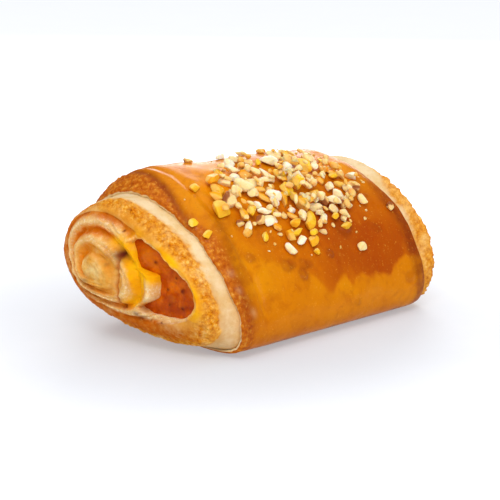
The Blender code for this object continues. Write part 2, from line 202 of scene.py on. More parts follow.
def polar_table(points: Array, centre: tuple[float, float], blur: float) -> Array:
    """Reach of a closed outline from a centre, by angle from -Y over the top.

    Args:
        points: Outline points y, z.
        centre: The centre's y and z.
        blur: How much corners are rounded, 0 for none.

    Returns:
        The reach at even angles.
    """
    angle = np.arctan2(points[:, 1] - centre[1], centre[0] - points[:, 0])
    reach = np.hypot(points[:, 0] - centre[0], points[:, 1] - centre[1])
    order = np.argsort(angle)
    grid = np.linspace(-math.pi, math.pi, STEPS, endpoint=False)
    table = np.interp(grid, angle[order], reach[order], period=TURN)
    if blur > 0.0:
        wave = np.fft.rfft(table)
        wave *= np.exp(-0.5 * (blur * np.arange(len(wave))) ** 2)
        table = np.fft.irfft(wave, STEPS)
    return table


def reach_at(table: Array, angle: Array) -> Array:
    """Reach of a table at any angle."""
    grid = np.linspace(-math.pi, math.pi, STEPS, endpoint=False)
    return np.interp(turned(angle), grid, table, period=TURN)


def oval_points(oval: tuple[float, ...]) -> Array:
    """Outline of a tilted egg: a superellipse with a half size of its own each way.

    Args:
        oval: Middle y and z, half sizes to the front, back, top and bottom, tilt in
            degrees, and power.

    Returns:
        Points y, z.
    """
    middle_y, middle_z, front, back, above, below, tilt, power = oval
    t = np.linspace(0.0, TURN, 4 * STEPS, endpoint=False)
    c, s = np.cos(t), np.sin(t)
    p = np.where(c > 0.0, back, front) * np.sign(c) * np.abs(c) ** (2.0 / power)
    q = np.where(s > 0.0, above, below) * np.sign(s) * np.abs(s) ** (2.0 / power)
    turn = math.radians(tilt)
    y = middle_y + p * math.cos(turn) - q * math.sin(turn)
    z = middle_z + p * math.sin(turn) + q * math.cos(turn)
    return np.column_stack([y, z])


class End(Enum):
    """Which end of the roll. The value is its side: -1 at the shown left end."""

    LEFT = -1
    RIGHT = 1


@dataclass
class RollShape:
    """Form of the whole roll, from the same named sizes as its solids."""

    bias: float = 0.16
    shift_x: float = -4.976
    shift_y: float = 9.672
    axis: tuple[float, float] = (-3.0, 25.0)
    wrap_left: float = -43.0
    wrap_right: float = 50.5
    shoulder: float = 10.5
    front_half: float = 50.5
    back_half: float = 30.0
    crest_left: float = 60.2
    crest_right: float = 56.8
    widest: float = 4.8
    back_widest: float = 20.0
    lip_top_left: float = 52.6
    lip_top_right: float = 54.4
    lip_thick: float = 2.2
    lip_lift: float = 2.4
    edge_bulge: float = 3.2
    rim_left_x: float = -50.0
    rim_right_x: float = 58.4
    rim_left: tuple[float, ...] = (1.6, 25.0, 48.3, 23.4, 27.6, 15.6, 20.0, 1.77)
    rim_right: tuple[float, ...] = (-5.8, 23.3, 42.2, 30.4, 29.6, 26.0, 19.0, 1.97)
    edge_oval: tuple[float, ...] = (0.9, 33.8, 43.6, 16.4, 12.8, 19.1, 19.8, 1.85)
    edge_left_x: float = -54.6
    edge_right_x: float = 62.6
    spiral: tuple[float, float] = (5.9, 25.3)
    spiral_rise: float = 3.0
    spiral_pitch: float = 0.33
    spiral_start: float = 0.28
    spiral_reach: float = 31.0
    ridge: float = 1.5
    fill_low: float = math.radians(-25.0)
    fill_high: float = math.radians(36.0)
    fill_inner_reach: float = 28.4
    fill_neck: float = 21.6
    fill_floor: float = 11.6
    fill_ceiling: float = 14.2
    fill_left_x: float = -52.6
    fill_right_x: float = 60.6
    tables: dict[str, Array] = field(default_factory=dict)

    def __post_init__(self) -> None:
        """Work out the section outlines once."""
        self.tables = {
            "body_left": self.dome(self.front_half, self.back_half, self.crest_left, 1.66),
            "body_right": self.dome(
                self.front_half - 1.5, self.back_half - 1.0, self.crest_right, 1.75
            ),
            "lip_right": self.dome(
                self.front_half - 3.0, self.back_half - 2.0, self.lip_top_right, 1.8
            ),
            "rim_left": polar_table(oval_points(self.rim_left), self.axis, 0.06),
            "rim_right": polar_table(oval_points(self.rim_right), self.axis, 0.06),
            "edge": polar_table(oval_points(self.edge_oval), self.axis, 0.05),
            "edge_spiral": polar_table(oval_points(self.edge_oval), self.spiral, 0.04),
        }
        angle = np.linspace(-math.pi, math.pi, STEPS, endpoint=False)
        dome = self.dome(self.front_half, self.back_half - 3.5, self.lip_top_left, 1.7, 3.0)
        under = fall(-0.75, -0.42, angle) + rise(2.6, 3.0, angle)
        low = np.minimum(dome, self.tables["rim_left"] + self.lip_lift)
        self.tables["lip_left"] = dome * (1.0 - under) + low * under

    def dome(
        self, front: float, back: float, top: float, power: float, widest: float | None = None
    ) -> Array:
        """Dome section: a low front corner, a rounder back and a flat base.

        Args:
            front: Half width towards the glazed front.
            back: Half width towards the back.
            top: Height of the crest.
            power: Fullness of the upper front.
            widest: Height of the front's widest place.

        Returns:
            Reach by angle about the roll's middle line.
        """
        t = np.linspace(0.0, TURN, 4 * STEPS, endpoint=False)
        c, s = np.cos(t), np.sin(t)
        facing, upper = c > 0.0, s > 0.0
        level = np.where(facing, self.widest if widest is None else widest, self.back_widest)
        lower_power = np.where(facing, 2.7, 2.2)
        n = np.where(upper, np.where(facing, power, power + 0.25), lower_power)
        up = np.where(upper, top - level, 1.15 * level + np.where(facing, 0.7, 0.0))
        y = -np.where(facing, front, back) * np.sign(c) * np.abs(c) ** (2.0 / n)
        z = np.maximum(level + up * np.sign(s) * np.abs(s) ** (2.0 / n), -0.25)
        return polar_table(np.column_stack([y, z]), self.axis, 0.095)

    def table(self, name: str, angle: Array) -> Array:
        """Reach of a named outline at an angle."""
        return reach_at(self.tables[name], angle)

    def right_bulge(self, angle: Array) -> Array:
        """How far the wrap's right edge runs past its straight line, low on the front."""
        return self.edge_bulge * dimple(turned(angle) - 0.2, 0.62)

    def on_section(self, reach: Array, angle: Array) -> tuple[Array, Array]:
        """Points y, z at a reach and an angle about the roll's middle line."""
        z = self.axis[1] + np.sin(angle) * reach
        return self.axis[0] - np.cos(angle) * reach, np.maximum(z, 0.0)

    def about_spiral(self, y: Array, z: Array) -> tuple[Array, Array]:
        """Reach and angle of points about the spiral's centre."""
        across, up = self.spiral[0] - y, z - self.spiral[1]
        return np.hypot(across, up), np.arctan2(up, across)

    def edge_reach(self, angle: Array) -> Array:
        """Reach of the end face's edge about the spiral's centre."""
        return reach_at(self.tables["edge_spiral"], angle)

    def fill_inner(self, angle: Array) -> Array:
        """Reach of the filling's inner side.

        Args:
            angle: Angles about the spiral's centre.

        Returns:
            The reach at each angle.
        """
        step = rise(0.07, 0.22, angle)
        tail = 5.5 * fall(-0.44, -0.14, angle)
        return self.fill_inner_reach - (self.fill_inner_reach - self.fill_neck) * step - tail

    def fill_outer(self, angle: Array) -> Array:
        """Reach of the filling's outer side, just inside the rim.

        Args:
            angle: Angles about the spiral's centre.

        Returns:
            The reach at each angle.
        """
        rim = 0.965 * self.edge_reach(angle)
        low = self.fill_floor / np.maximum(np.sin(-angle), 0.02)
        high = self.fill_ceiling / np.maximum(np.sin(angle), 0.02)
        return np.minimum(rim, np.where(angle < 0.0, low, high))

    def fill_depth(self, y: Array, z: Array) -> Array:
        """How far inside the filling's crescent points are.

        Args:
            y: Places across the roll.
            z: Heights.

        Returns:
            The depth, negative outside the crescent.
        """
        reach, angle = self.about_spiral(y, z)
        held = np.clip(angle, self.fill_low, self.fill_high)
        sides = np.minimum(reach - self.fill_inner(held), self.fill_outer(held) - reach)
        ends = np.minimum(angle - self.fill_low, self.fill_high - angle) * reach
        return np.minimum(sides, ends)

    def span(self, edge: Array) -> Array:
        """Reach that the turns of the spiral share out, given the reach of the rim's edge."""
        return (edge**-4.0 + self.spiral_reach**-4.0) ** -0.25

    def spiral_phase(self, y: Array, z: Array) -> tuple[Array, Array]:
        """Where points lie in the spiral.

        Args:
            y: Places across the roll.
            z: Heights.

        Returns:
            Turn count, whole in a groove, and the share of the way out.
        """
        reach, angle = self.about_spiral(y, z)
        share = reach / self.span(self.edge_reach(angle))
        over = rise(0.5, 1.4, angle) * fall(2.1, 3.1, angle)
        start = self.spiral_start + 0.24 * over * rise(0.2, 0.5, share)
        return share / self.spiral_pitch + angle / TURN - start, share

    def spiral_relief(self, y: Array, z: Array) -> Array:
        """Rolled layers on an end face: ridges parted by grooves.

        Args:
            y: Places across the roll.
            z: Heights.

        Returns:
            How far the layers stand out.
        """
        phase, share = self.spiral_phase(y, z)
        reach, angle = self.about_spiral(y, z)
        out = reach / self.edge_reach(angle)
        ridge = (0.5 - 0.5 * np.cos(TURN * phase)) ** 0.8
        calm = rise(0.08, 0.3, share) * fall(0.94, 1.06, out)
        beyond = rise(0.98, 1.12, share) * fall(0.9, 1.0, out)
        return calm * (self.ridge * (ridge - 0.55)) * (1.0 - beyond) - 1.6 * beyond

    def face_x(self, y: Array, z: Array, end: End) -> Array:
        """Place of an end face along the roll.

        Args:
            y: Places across the roll.
            z: Heights.
            end: Which end.

        Returns:
            Places along the roll.
        """
        edge_x = self.edge_left_x if end is End.LEFT else self.edge_right_x
        reach, angle = self.about_spiral(y, z)
        share = np.clip(reach / self.edge_reach(angle), 0.0, 1.2)
        swell = self.spiral_rise * (1.0 - share**2)
        lumps = 0.5 * wobble(3.1 * y, 2.3 * z, 40.0 * end.value * np.ones_like(y))
        return edge_x + end.value * (swell + self.spiral_relief(y, z) + lumps)

    def crust_reach(self, x: Array, angle: Array) -> Array:
        """Reach of the glazed wrap.

        Args:
            x: Places along the roll.
            angle: Angles about its middle line.

        Returns:
            The reach at each place.
        """
        t = np.clip((x - self.wrap_left) / (self.wrap_right - self.wrap_left), 0.0, 1.0)
        body = (1.0 - t) * self.table("body_left", angle) + t * self.table("body_right", angle)
        run = self.shoulder * (1.0 + 0.7 * rise(-0.3, 0.3, -np.sin(angle)))
        left = np.clip((x - self.wrap_left) / run, 0.0, 1.0)
        left = np.sin(0.5 * math.pi * left) ** 0.9
        body = body * left + self.table("lip_left", angle) * (1.0 - left)
        right = np.clip((self.wrap_right - x) / 5.0, 0.0, 1.0)
        right = np.sqrt(1.0 - (1.0 - right) ** 2)
        body = body * right + self.table("lip_right", angle) * (1.0 - right)
        y, z = self.on_section(body, angle)
        swell = 0.9 * wobble(x, y, z) * rise(3.0, 14.0, z)
        crease = -0.8 * dimple(x - self.wrap_left - self.shoulder, 1.8)
        return body + swell + crease * rise(6.0, 20.0, z) * left

    def placed(self, x: Array, y: Array, z: Array) -> Array:
        """Final place of points in millimetres: cut on the bias and centred."""
        x, y, z = np.broadcast_arrays(x, y, z)
        return np.stack([x - self.bias * y + self.shift_x, y + self.shift_y, z], axis=-1)


def in_scene(name: str, data: bpy.types.ID) -> Piece:
    """Put a mesh, light or camera into the scene.

    Args:
        name: Name of its object.
        data: The mesh, light or camera.

    Returns:
        The object.
    """
    made = bpy.data.objects.new(name, data)
    bpy.context.scene.collection.objects.link(made)
    return made


def store(mesh: bpy.types.Mesh, marks: Marks) -> None:
    """Keep named values on a mesh's points, where its finish or its scatter reads them.

    Args:
        mesh: The mesh.
        marks: One number or three for each point, by name.
    """
    for label, values in marks.items():
        kind, key = ("FLOAT_VECTOR", "vector") if values.ndim == 2 else ("FLOAT", "value")
        layer = mesh.attributes.new(label, kind, "POINT")
        layer.data.foreach_set(key, values.astype(np.float32).ravel())


def surface(name: str, points: Array, faces: list, marks: Marks) -> Piece:
    """Smooth piece from points and faces.

    Args:
        name: Piece name.
        points: Points in millimetres.
        faces: Point numbers of each face.
        marks: Values of the points by name, kept between 0 and 1.

    Returns:
        The piece.
    """
    mesh = bpy.data.meshes.new(name)
    mesh.from_pydata((points * MM).tolist(), [], faces)
    mesh.shade_smooth()
    store(mesh, {label: np.clip(values, 0.0, 1.0) for label, values in marks.items()})
    mesh.update()
    return in_scene(name, mesh)


def ring_surface(
    name: str, rings: Array, marks: Marks, tips: Array | None = None
) -> Piece:
    """Closed surface through rings that run towards +X.

    Args:
        name: Piece name.
        rings: Points in millimetres, as rings by columns by three.
        marks: Named values at each ring and column.
        tips: First and last pole. Without them the last ring joins the first.

    Returns:
        The piece, with its marks as point attributes.
    """
    count, columns = rings.shape[:2]
    index = np.arange(count * columns).reshape(count, columns)
    if tips is None:
        index = np.vstack([index, index[:1]])
    after = np.roll(index, -1, axis=1)
    faces = np.stack([index[:-1], index[1:], after[1:], after[:-1]], axis=-1)
    faces = faces.reshape(-1, 4).tolist()
    points = rings.reshape(-1, 3)
    flat = {label: values.ravel() for label, values in marks.items()}
    if tips is not None:
        points = np.vstack([points, tips])
        low = (count - 1) * columns
        for k in range(columns):
            step = (k + 1) % columns
            faces.append((len(points) - 2, k, step))
            faces.append((len(points) - 1, low + step, low + k))
        for label, values in marks.items():
            flat[label] = np.append(flat[label], [values[0].mean(), values[-1].mean()])
    return surface(name, points, faces, flat)


def even_columns(outline: Array, columns: int) -> Array:
    """Angles that part an outline into equal lengths.

    Args:
        outline: Reach by angle.
        columns: How many angles.

    Returns:
        The angles, rising from 0.
    """
    fine = np.linspace(0.0, TURN, 4000)
    reach = reach_at(outline, fine)
    spots = np.column_stack([np.cos(fine) * reach, np.sin(fine) * reach])
    steps = np.linalg.norm(np.diff(spots, axis=0), axis=1)
    length = np.append(0.0, np.cumsum(steps))
    return np.interp(np.linspace(0.0, length[-1], columns, endpoint=False), length, fine)


def hand_over(piece: Piece, node: str) -> None:
    """Fix a finished piece to the roll's body and report it.

    Args:
        piece: The piece.
        node: The solid that it stands for.
    """
    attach(piece, "root")
    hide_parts(node)
    piece.data.calc_loop_triangles()
    LOG.info("%s: %d triangles", piece.name, len(piece.data.loop_triangles))


@dataclass
class SubAssembly:
    """Part of the roll that is made in one go, with the finish that it wears."""

    shape: RollShape
    finish: bpy.types.Material

    def dress(self, piece: Piece, node: str, slot: str) -> None:
        """Give a built piece its finish and hand it over in place of a solid."""
        piece.data.materials.append(self.finish)
        hand_over(piece, node)


@dataclass
class OuterWrap(SubAssembly):
    """The glazed sheet round the roll: its crust, its blistered left edge and its lips.

    A bubble is its place along the roll, its angle in degrees, its radius and its height.
    """

    columns: int = 560
    rows_middle: int = 82
    lip_rows: int = 9
    inner_rows: int = 10
    blister: float = 0.32
    bubbles: Rows = (
        (-9.0, -2.0, 1.7, 0.55), (-15.0, 3.5, 1.9, 0.4), (-12.4, 3.8, 1.4, 0.35),
        (-6.6, 2.6, 1.5, 0.3), (-4.5, 2.0, 1.3, 0.3), (-29.5, 11.5, 1.5, 0.35),
        (6.8, 5.0, 1.5, 0.75), (48.0, -2.0, 1.0, 0.5), (20.5, 17.5, 3.4, 0.9),
        (31.0, 47.0, 1.2, 0.35), (41.0, 34.0, 0.9, 0.3), (26.0, 5.0, 1.2, 0.25),
        (36.0, 12.0, 1.5, 0.25), (-20.0, 20.0, 1.6, 0.2), (-27.0, 30.0, 1.2, 0.2),
        (44.0, -14.0, 1.6, 0.25), (14.0, -18.0, 1.3, 0.2),
    )
    bare_spots: Rows = ((-40.2, 6.0, 1.3), (-40.2, -2.0, 1.1), (-37.5, -11.5, 1.2))
    wash_x: tuple[float, ...] = (-34.0, -12.0, -0.5, 14.0, 22.0, 34.0, 50.0)
    wash_degrees: tuple[float, ...] = (14.0, 4.0, -9.0, -6.0, -9.5, -6.5, -3.0)
    drips: Rows = ((13.2, 1.6, 5.0), (1.5, 3.2, 4.5), (35.0, 4.5, 3.5))

    def crease_x(self, degrees: Array) -> Array:
        """Place along the roll of the crease behind the blistered edge."""
        return -37.2 + 0.1 * np.clip(degrees - 89.5, -52.0, 60.0)

    @staticmethod
    def upper(degrees: Array) -> Array:
        """Share, 0 to 1, in which the crease runs: over the shoulder and down the back."""
        return rise(26.0, 54.0, degrees) * fall(138.0, 174.0, degrees)

    def strip_x(self, degrees: Array) -> Array:
        """Place along the roll where the blistered strip ends."""
        over = self.upper(degrees)
        return over * self.crease_x(degrees) - 38.3 * (1.0 - over)

    def build(self) -> None:
        """Make the closed sheet: outer side, two round lips and the hidden inner side."""
        s = self.shape
        angle = even_columns(s.tables["body_left"], self.columns)
        degrees = np.degrees(turned(angle))
        ring = np.stack([10.0 * np.cos(angle), 10.0 * np.sin(angle), 0.0 * angle], axis=-1)
        wavy_left = 0.55 * grain(ring, 3.0, 5) + 0.35 * grain(ring, 0.8, 6)
        wavy_right = 0.5 * grain(ring, 3.0, 7) + s.right_bulge(angle)
        x_edge = s.wrap_left + 0.9
        x_out = np.concatenate(
            [
                np.linspace(x_edge, s.wrap_left + 12.0, 34, endpoint=False),
                np.linspace(s.wrap_left + 12.0, s.wrap_right - 6.0, self.rows_middle),
                np.linspace(s.wrap_right - 5.6, s.wrap_right - 0.9, 16),
            ]
        )
        x = np.repeat(x_out[:, None], self.columns, axis=1)
        turn = np.repeat(angle[None, :], len(x_out), axis=0)
        reach = s.crust_reach(x, turn)
        reach = self.fine_relief(x, turn, reach)
        rings = [(x + self.sway(x, wavy_left, wavy_right), reach)]
        thick = s.lip_thick + 0.25 * grain(ring, 4.0, 8)
        bend = np.linspace(0.0, math.pi, self.lip_rows + 2)[1:-1][:, None]
        right_lip = self.lip(s.wrap_right - 0.9, reach[-1], thick, bend, 1.0)
        left_lip = self.lip(x_edge, reach[0], thick, math.pi - bend, -1.0)
        rings.append((right_lip[0] + wavy_right, right_lip[1]))
        x_in = np.linspace(s.wrap_right - 1.5, x_edge + 0.6, self.inner_rows)
        deep = s.crust_reach(np.repeat(x_in[:, None], self.columns, axis=1), angle[None, :])
        rings.append((x_in[:, None] + 0.0 * angle, deep - s.lip_thick - 0.3))
        rings.append((left_lip[0] + wavy_left, left_lip[1]))
        x_all = np.vstack([part[0] for part in rings])
        reach_all = np.vstack([part[1] for part in rings])
        y, z = s.on_section(reach_all, np.repeat(angle[None, :], len(x_all), axis=0))
        points = s.placed(x_all, y, z)
        marks = self.marks(x_all, y, z, degrees, len(x_out))
        self.dress(ring_surface("outer_wrap", points, marks), "dough", "glazed_dough")

    def sway(self, x: Array, left: Array, right: Array) -> Array:
        """Make the sheet's edges uneven.

        Args:
            x: Places along the roll.
            left: Waves of the left edge.
            right: Waves of the right edge.

        Returns:
            How far each point moves along the roll.
        """
        s = self.shape
        near_left = np.exp(-((x - s.wrap_left) / 5.0))
        near_right = np.exp(-(np.maximum(s.wrap_right - 0.9 - x, 0.0) / 6.0))
        return near_left * left + near_right * right

    @staticmethod
    def lip(
        x: float, outer: Array, thick: Array, bend: Array, side: float
    ) -> tuple[Array, Array]:
        """Half-round edge of the sheet.

        Args:
            x: Where the round starts.
            outer: Reach of the outer side.
            thick: Thickness of the sheet.
            bend: Angles round the edge, 0 at the outer side.
            side: Which way the edge faces along the roll.

        Returns:
            Places along the roll, and reaches.
        """
        middle = outer - 0.5 * thick
        return x + side * 0.45 * thick * np.sin(bend), middle + 0.5 * thick * np.cos(bend)

    def fine_relief(self, x: Array, turn: Array, reach: Array) -> Array:
        """Add the blistered edge, the crease, bubbles and slow dents to the crust.

        Args:
            x: Places along the roll.
            turn: Angles about its middle line.
            reach: Reach of the plain crust.

        Returns:
            Reach with its relief.
        """
        s = self.shape
        y, z = s.on_section(reach, turn)
        spots = joined(x, y, z)
        degrees = np.degrees(turned(turn))
        crease = self.crease_x(degrees)
        upper = self.upper(degrees)
        strip = fall(-1.5, 1.0, x - self.strip_x(degrees))
        fade = rise(0.0, 4.0, z)
        blister = pimples(spots, 1.7, 0.75, 11) + 0.8 * grain(spots, 1.3, 12, 2)
        reach = reach + fade * strip * self.blister * (blister - 0.3)
        reach = reach - fade * upper * 0.55 * dimple(x - crease, 0.9)
        reach = reach + fade * upper * 0.12 * dimple(x - crease - 1.8, 1.4)
        smooth = fade * (1.0 - strip)
        reach = reach + smooth * (0.1 * grain(spots, 9.0, 13, 3) + 0.03 * grain(spots, 1.5, 14, 2))
        reach = reach + smooth * 0.16 * pimples(spots, 2.6, 0.07, 15)
        for bubble_x, bubble_degrees, radius, height in self.bubbles:
            arc = np.radians(degrees - bubble_degrees) * reach
            away = np.hypot(x - bubble_x, arc)
            dome = np.clip(1.0 - (away / radius) ** 2, 0.0, 1.0) ** 1.4
            reach = reach + 1.3 * height * dome - 0.14 * dimple(away - 1.25 * radius, 0.35)
        return reach

    def marks(
        self, x: Array, y: Array, z: Array, degrees: Array, outside: int
    ) -> Marks:
        """Where the crust is washed twice, roasted dark, blistered or bare, and where light and
        shade are painted on it.

        Args:
            x: Places along the roll.
            y: Places across it.
            z: Heights.
            degrees: Angle of each column.
            outside: How many of the rings lie on the outer side.

        Returns:
            Marks for the crust's finish.
        """
        s = self.shape
        spots = joined(x, y, z)
        turn = np.repeat(degrees[None, :], len(x), axis=0)
        ragged = 2.2 * grain(spots * np.array([1.0, 0.35, 0.35]), 5.0, 21, 3)
        line = np.interp(x, self.wash_x, self.wash_degrees)
        drip = sum(high * dimple(x - place, wide) for place, wide, high in self.drips)
        above = rise(-1.6, 1.6, turn - line + drip + ragged)
        reach_in = 0.5 * rise(-36.0, -22.0, x) + 0.5 * rise(-14.0, 8.0, x)
        reach_in = reach_in * fall(26.0, 56.0, turn)
        cloud = 0.5 + 0.5 * grain(spots, 16.0, 22, 3)
        streaks = grain(spots * np.array([1.0, 0.25, 0.25]), 2.4, 23, 2)
        wash = above * reach_in * (0.6 + 0.5 * cloud + 0.16 * streaks)
        pool = dimple(x - 30.0, 12.0) * dimple(turn - 8.0, 11.0)
        wash = wash + 0.35 * above * pool
        left_band = dimple(x + 38.0 - 0.12 * np.clip(turn, -30.0, 40.0), 3.2)
        left_band = left_band * rise(-26.0, -12.0, turn) * fall(30.0, 60.0, turn)
        crease = self.crease_x(turn)
        upper = self.upper(turn)
        toast = 0.5 * left_band + 0.7 * upper * dimple(x - crease + 0.2, 1.1)
        right_band = rise(s.wrap_right - 6.0, s.wrap_right - 1.0, x)
        toast = toast + right_band * (0.75 - 0.5 * rise(20.0, 50.0, turn))
        strip = fall(-1.2, 1.2, x - self.strip_x(turn) - ragged * 0.35)
        # Painted light: lit is a painted pool of light on the upper front, and bright is a painted
        # sheen at the top right, where the dark wash is thinned. Below the wash line on the left,
        # lit also lightens the crust a little.
        lit = dimple(x + 16.0, 22.0) * dimple(turn - 72.0, 36.0)
        bright = dimple(x - 44.0, 8.0) * dimple(turn - 66.0, 28.0)
        lit, wash = lit + 0.8 * bright, wash * (1.0 - 0.8 * bright)
        lit = lit + 0.26 * (1.0 - above) * rise(-38.0, -22.0, x) * rise(1.0, 9.0, z)
        # Painted shade: under darkens the crust's lowest few millimetres, where it meets the
        # table.
        under = fall(0.3, 3.5, z + 0.5 * ragged)
        ring = np.zeros_like(x)
        for bubble_x, bubble_degrees, radius, height in self.bubbles:
            arc = np.radians(turn - bubble_degrees) * np.hypot(y - s.axis[0], z - s.axis[1])
            away = np.hypot(x - bubble_x, arc) / radius + 0.25 * streaks
            strength = min(1.0, 0.25 + height)
            ring = ring + strength * (0.55 * dimple(away - 1.0, 0.4) + 0.8 * dimple(away, 0.8))
        bare = np.zeros_like(x)
        for spot_x, spot_degrees, radius in self.bare_spots:
            arc = np.radians(turn - spot_degrees) * 40.0
            bare = bare + 0.22 * dimple(np.hypot(x - spot_x, arc), radius)
        inner = np.zeros_like(x)
        inner[outside:] = 1.0
        inner[outside : outside + self.lip_rows // 2] = 0.0
        inner[-(self.lip_rows // 2) - 1 :] = 0.0
        return {
            "wash": wash * (1.0 - strip),
            "toast": toast,
            "strip": strip,
            "lit": lit * (1.0 - strip),
            "bare": bare,
            "bubble": ring * (1.0 - strip),
            "crumb": inner,
            "matt": np.maximum(np.clip(strip, 0.0, 1.0), inner),
            "under": under,
        }


@dataclass
class RolledEnd(SubAssembly):
    """One end of the inner roll: its spiral face, golden rim and pale neck.

    Grades run from 0 on the face to 1 at the hidden end of the neck. A yolk spot is y, z,
    radius and strength, and a dark spot is y, z, half width, half height and strength.
    """

    end: End
    columns: int
    face_rows: int
    channel_floor: float = 2.6
    ring_counts: tuple[int, ...] = (5, 6, 9, 7, 9, 3, 2)
    yolk_spots: Rows = (
        (-11.5, 36.6, 2.8, 0.9), (-15.0, 31.8, 2.9, 1.0), (-18.0, 29.0, 3.0, 1.0),
        (-21.6, 28.0, 2.4, 1.0), (-23.2, 25.6, 1.6, 0.7), (-7.8, 38.2, 2.6, 0.85),
        (-12.4, 32.6, 2.4, 0.9), (-4.4, 37.6, 1.8, 0.45), (-14.6, 41.0, 2.6, 0.6),
        (-13.4, 26.8, 2.2, 0.6), (-11.6, 16.4, 2.0, 0.7),
    )
    dark_spots: Rows = (
        (-8.6, 33.4, 2.7, 2.0, 1.0), (-15.4, 13.1, 2.0, 1.7, 0.62),
        (7.2, 22.0, 1.9, 1.2, 0.55), (-8.6, 41.6, 0.4, 0.4, 1.0),
        (-21.3, 39.6, 0.45, 0.4, 1.0), (-25.2, 11.8, 0.5, 0.4, 0.9),
        (-34.5, 12.1, 0.5, 0.4, 0.9), (-2.4, 29.2, 1.0, 0.7, 0.35),
        (3.4, 17.5, 1.3, 0.8, 0.35),
    )
    neck_left: Rows = (
        (-180.0, -150.0, -60.0, -25.0, 0.0, 20.0, 40.0, 60.0, 90.0, 180.0),
        (0.4, 0.42, 0.5, 0.56, 0.62, 0.69, 0.62, 0.5, 0.43, 0.4),
    )
    neck_right: Rows = (
        (-180.0, -140.0, -90.0, 0.0, 25.0, 48.0, 120.0, 180.0),
        (0.5, 0.74, 0.84, 0.82, 0.76, 0.46, 0.42, 0.5),
    )

    def build(self) -> None:
        """Make the closed end, from the spiral's centre to a pole hidden in the wrap."""
        s = self.shape
        left = self.end is End.LEFT
        angle = even_columns(s.tables["edge"], self.columns)
        rim, edge = s.table("rim_left" if left else "rim_right", angle), s.table("edge", angle)
        edge_x = s.edge_left_x if left else s.edge_right_x
        rim_x = s.rim_left_x if left else s.rim_right_x
        side = float(self.end.value)
        lip_x = s.wrap_left + 0.0 * angle if left else s.wrap_right + s.right_bulge(angle)
        straight_x = s.wrap_left if left else s.wrap_right
        held = [
            s.crust_reach(np.full_like(angle, straight_x - side * depth), angle) - s.lip_thick
            for depth in (0.9, 6.0, 12.0)
        ]
        face_y, face_z = self.face_points(angle, edge)
        face_x = s.face_x(face_y, face_z, self.end)
        stations = [
            (edge_x - side * 0.35, 0.66 * edge + 0.34 * rim),
            (0.45 * edge_x + 0.55 * rim_x, 0.25 * edge + 0.75 * rim),
            (rim_x, rim),
            (0.65 * rim_x + 0.35 * lip_x, 0.78 * rim + 0.22 * held[0]),
            (lip_x - side * 0.9, held[0] + 0.15),
            (straight_x - side * 6.0, held[1] - 0.8),
            (straight_x - side * 12.0, held[2] - 3.0),
        ]
        neck_x, neck_reach = self.through(face_x[-1], edge, stations)
        y, z = s.on_section(neck_reach, angle[None, :])
        x = np.vstack([face_x, neck_x])
        y, z = np.vstack([face_y, y]), np.vstack([face_z, z])
        grade = np.concatenate([np.zeros(len(face_x)), np.linspace(0.0, 1.0, len(neck_x) + 1)[1:]])
        grade = grade[:, None] + 0.0 * angle
        marks = self.marks(x, y, z, grade)
        x, y, z = self.fine_relief(x, y, z, grade, marks)
        points = s.placed(x, y, z)
        mid_y, mid_z = np.array([s.spiral[0]]), np.array([s.spiral[1]])
        tip = s.placed(s.face_x(mid_y, mid_z, self.end), mid_y, mid_z)
        hidden = s.placed(np.array([straight_x - side * 13.0]), *np.array(s.axis)[:, None])
        tips = np.vstack([tip, hidden])
        if not left:
            points, tips = points[::-1], tips[::-1]
            marks = {label: values[::-1] for label, values in marks.items()}
        name = "rolled_end_left" if left else "rolled_end_right"
        self.dress(ring_surface(name, points, marks, tips), "dough", "glazed_dough")

    def face_points(self, angle: Array, edge: Array) -> tuple[Array, Array]:
        """Grid over the end face, whose rings keep to the spiral's turns.

        Args:
            angle: Angles of the columns about the roll's middle line.
            edge: Reach of the face's edge.

        Returns:
            Places across the roll, and heights, by ring and column.
        """
        s = self.shape
        edge_y, edge_z = s.on_section(edge, angle)
        far, turn = s.about_spiral(edge_y, edge_z)
        span = s.span(far)
        rows = int(0.72 * self.face_rows)
        outer = np.linspace(1.0, 2.0, self.face_rows - rows + 1)[1:]
        share = np.append(np.linspace(0.0, 1.0, rows + 1)[1:], outer)[:, None]
        reach = np.where(share <= 1.0, share * span, span + (share - 1.0) * (far - span))
        return s.spiral[0] - np.cos(turn) * reach, s.spiral[1] + np.sin(turn) * reach

    def through(
        self,
        start_x: Array,
        start_reach: Array,
        stations: list[tuple[float | Array, Array]],
    ) -> tuple[Array, Array]:
        """Smooth rings from the face's edge through the rim to the hidden neck.

        Args:
            start_x: Place of the face's edge along the roll.
            start_reach: Its reach.
            stations: Places along the roll with their reaches.

        Returns:
            Places and reaches of the rings between them, the first edge left out.
        """
        xs = np.array([start_x] + [x + 0.0 * start_reach for x, _ in stations])
        reaches = np.array([start_reach] + [reach for _, reach in stations])
        last = len(xs) - 1
        rows = [
            k + np.linspace(0.0, 1.0, count, endpoint=False)
            for k, count in enumerate(self.ring_counts)
        ]
        places = np.append(np.concatenate(rows)[1:], float(last))
        low = np.clip(np.floor(places).astype(int), 0, last - 1)
        t = (places - low)[:, None]
        curves = []
        for values in (xs, reaches):
            p0, p1 = values[np.maximum(low - 1, 0)], values[low]
            p2, p3 = values[low + 1], values[np.minimum(low + 2, last)]
            curves.append(
                (2 * t**3 - 3 * t**2 + 1) * p1
                + (t**3 - 2 * t**2 + t) * (0.5 * (p2 - p0))
                + (3 * t**2 - 2 * t**3) * p2
                + (t**3 - t**2) * (0.5 * (p3 - p1))
            )
        return curves[0], curves[1]

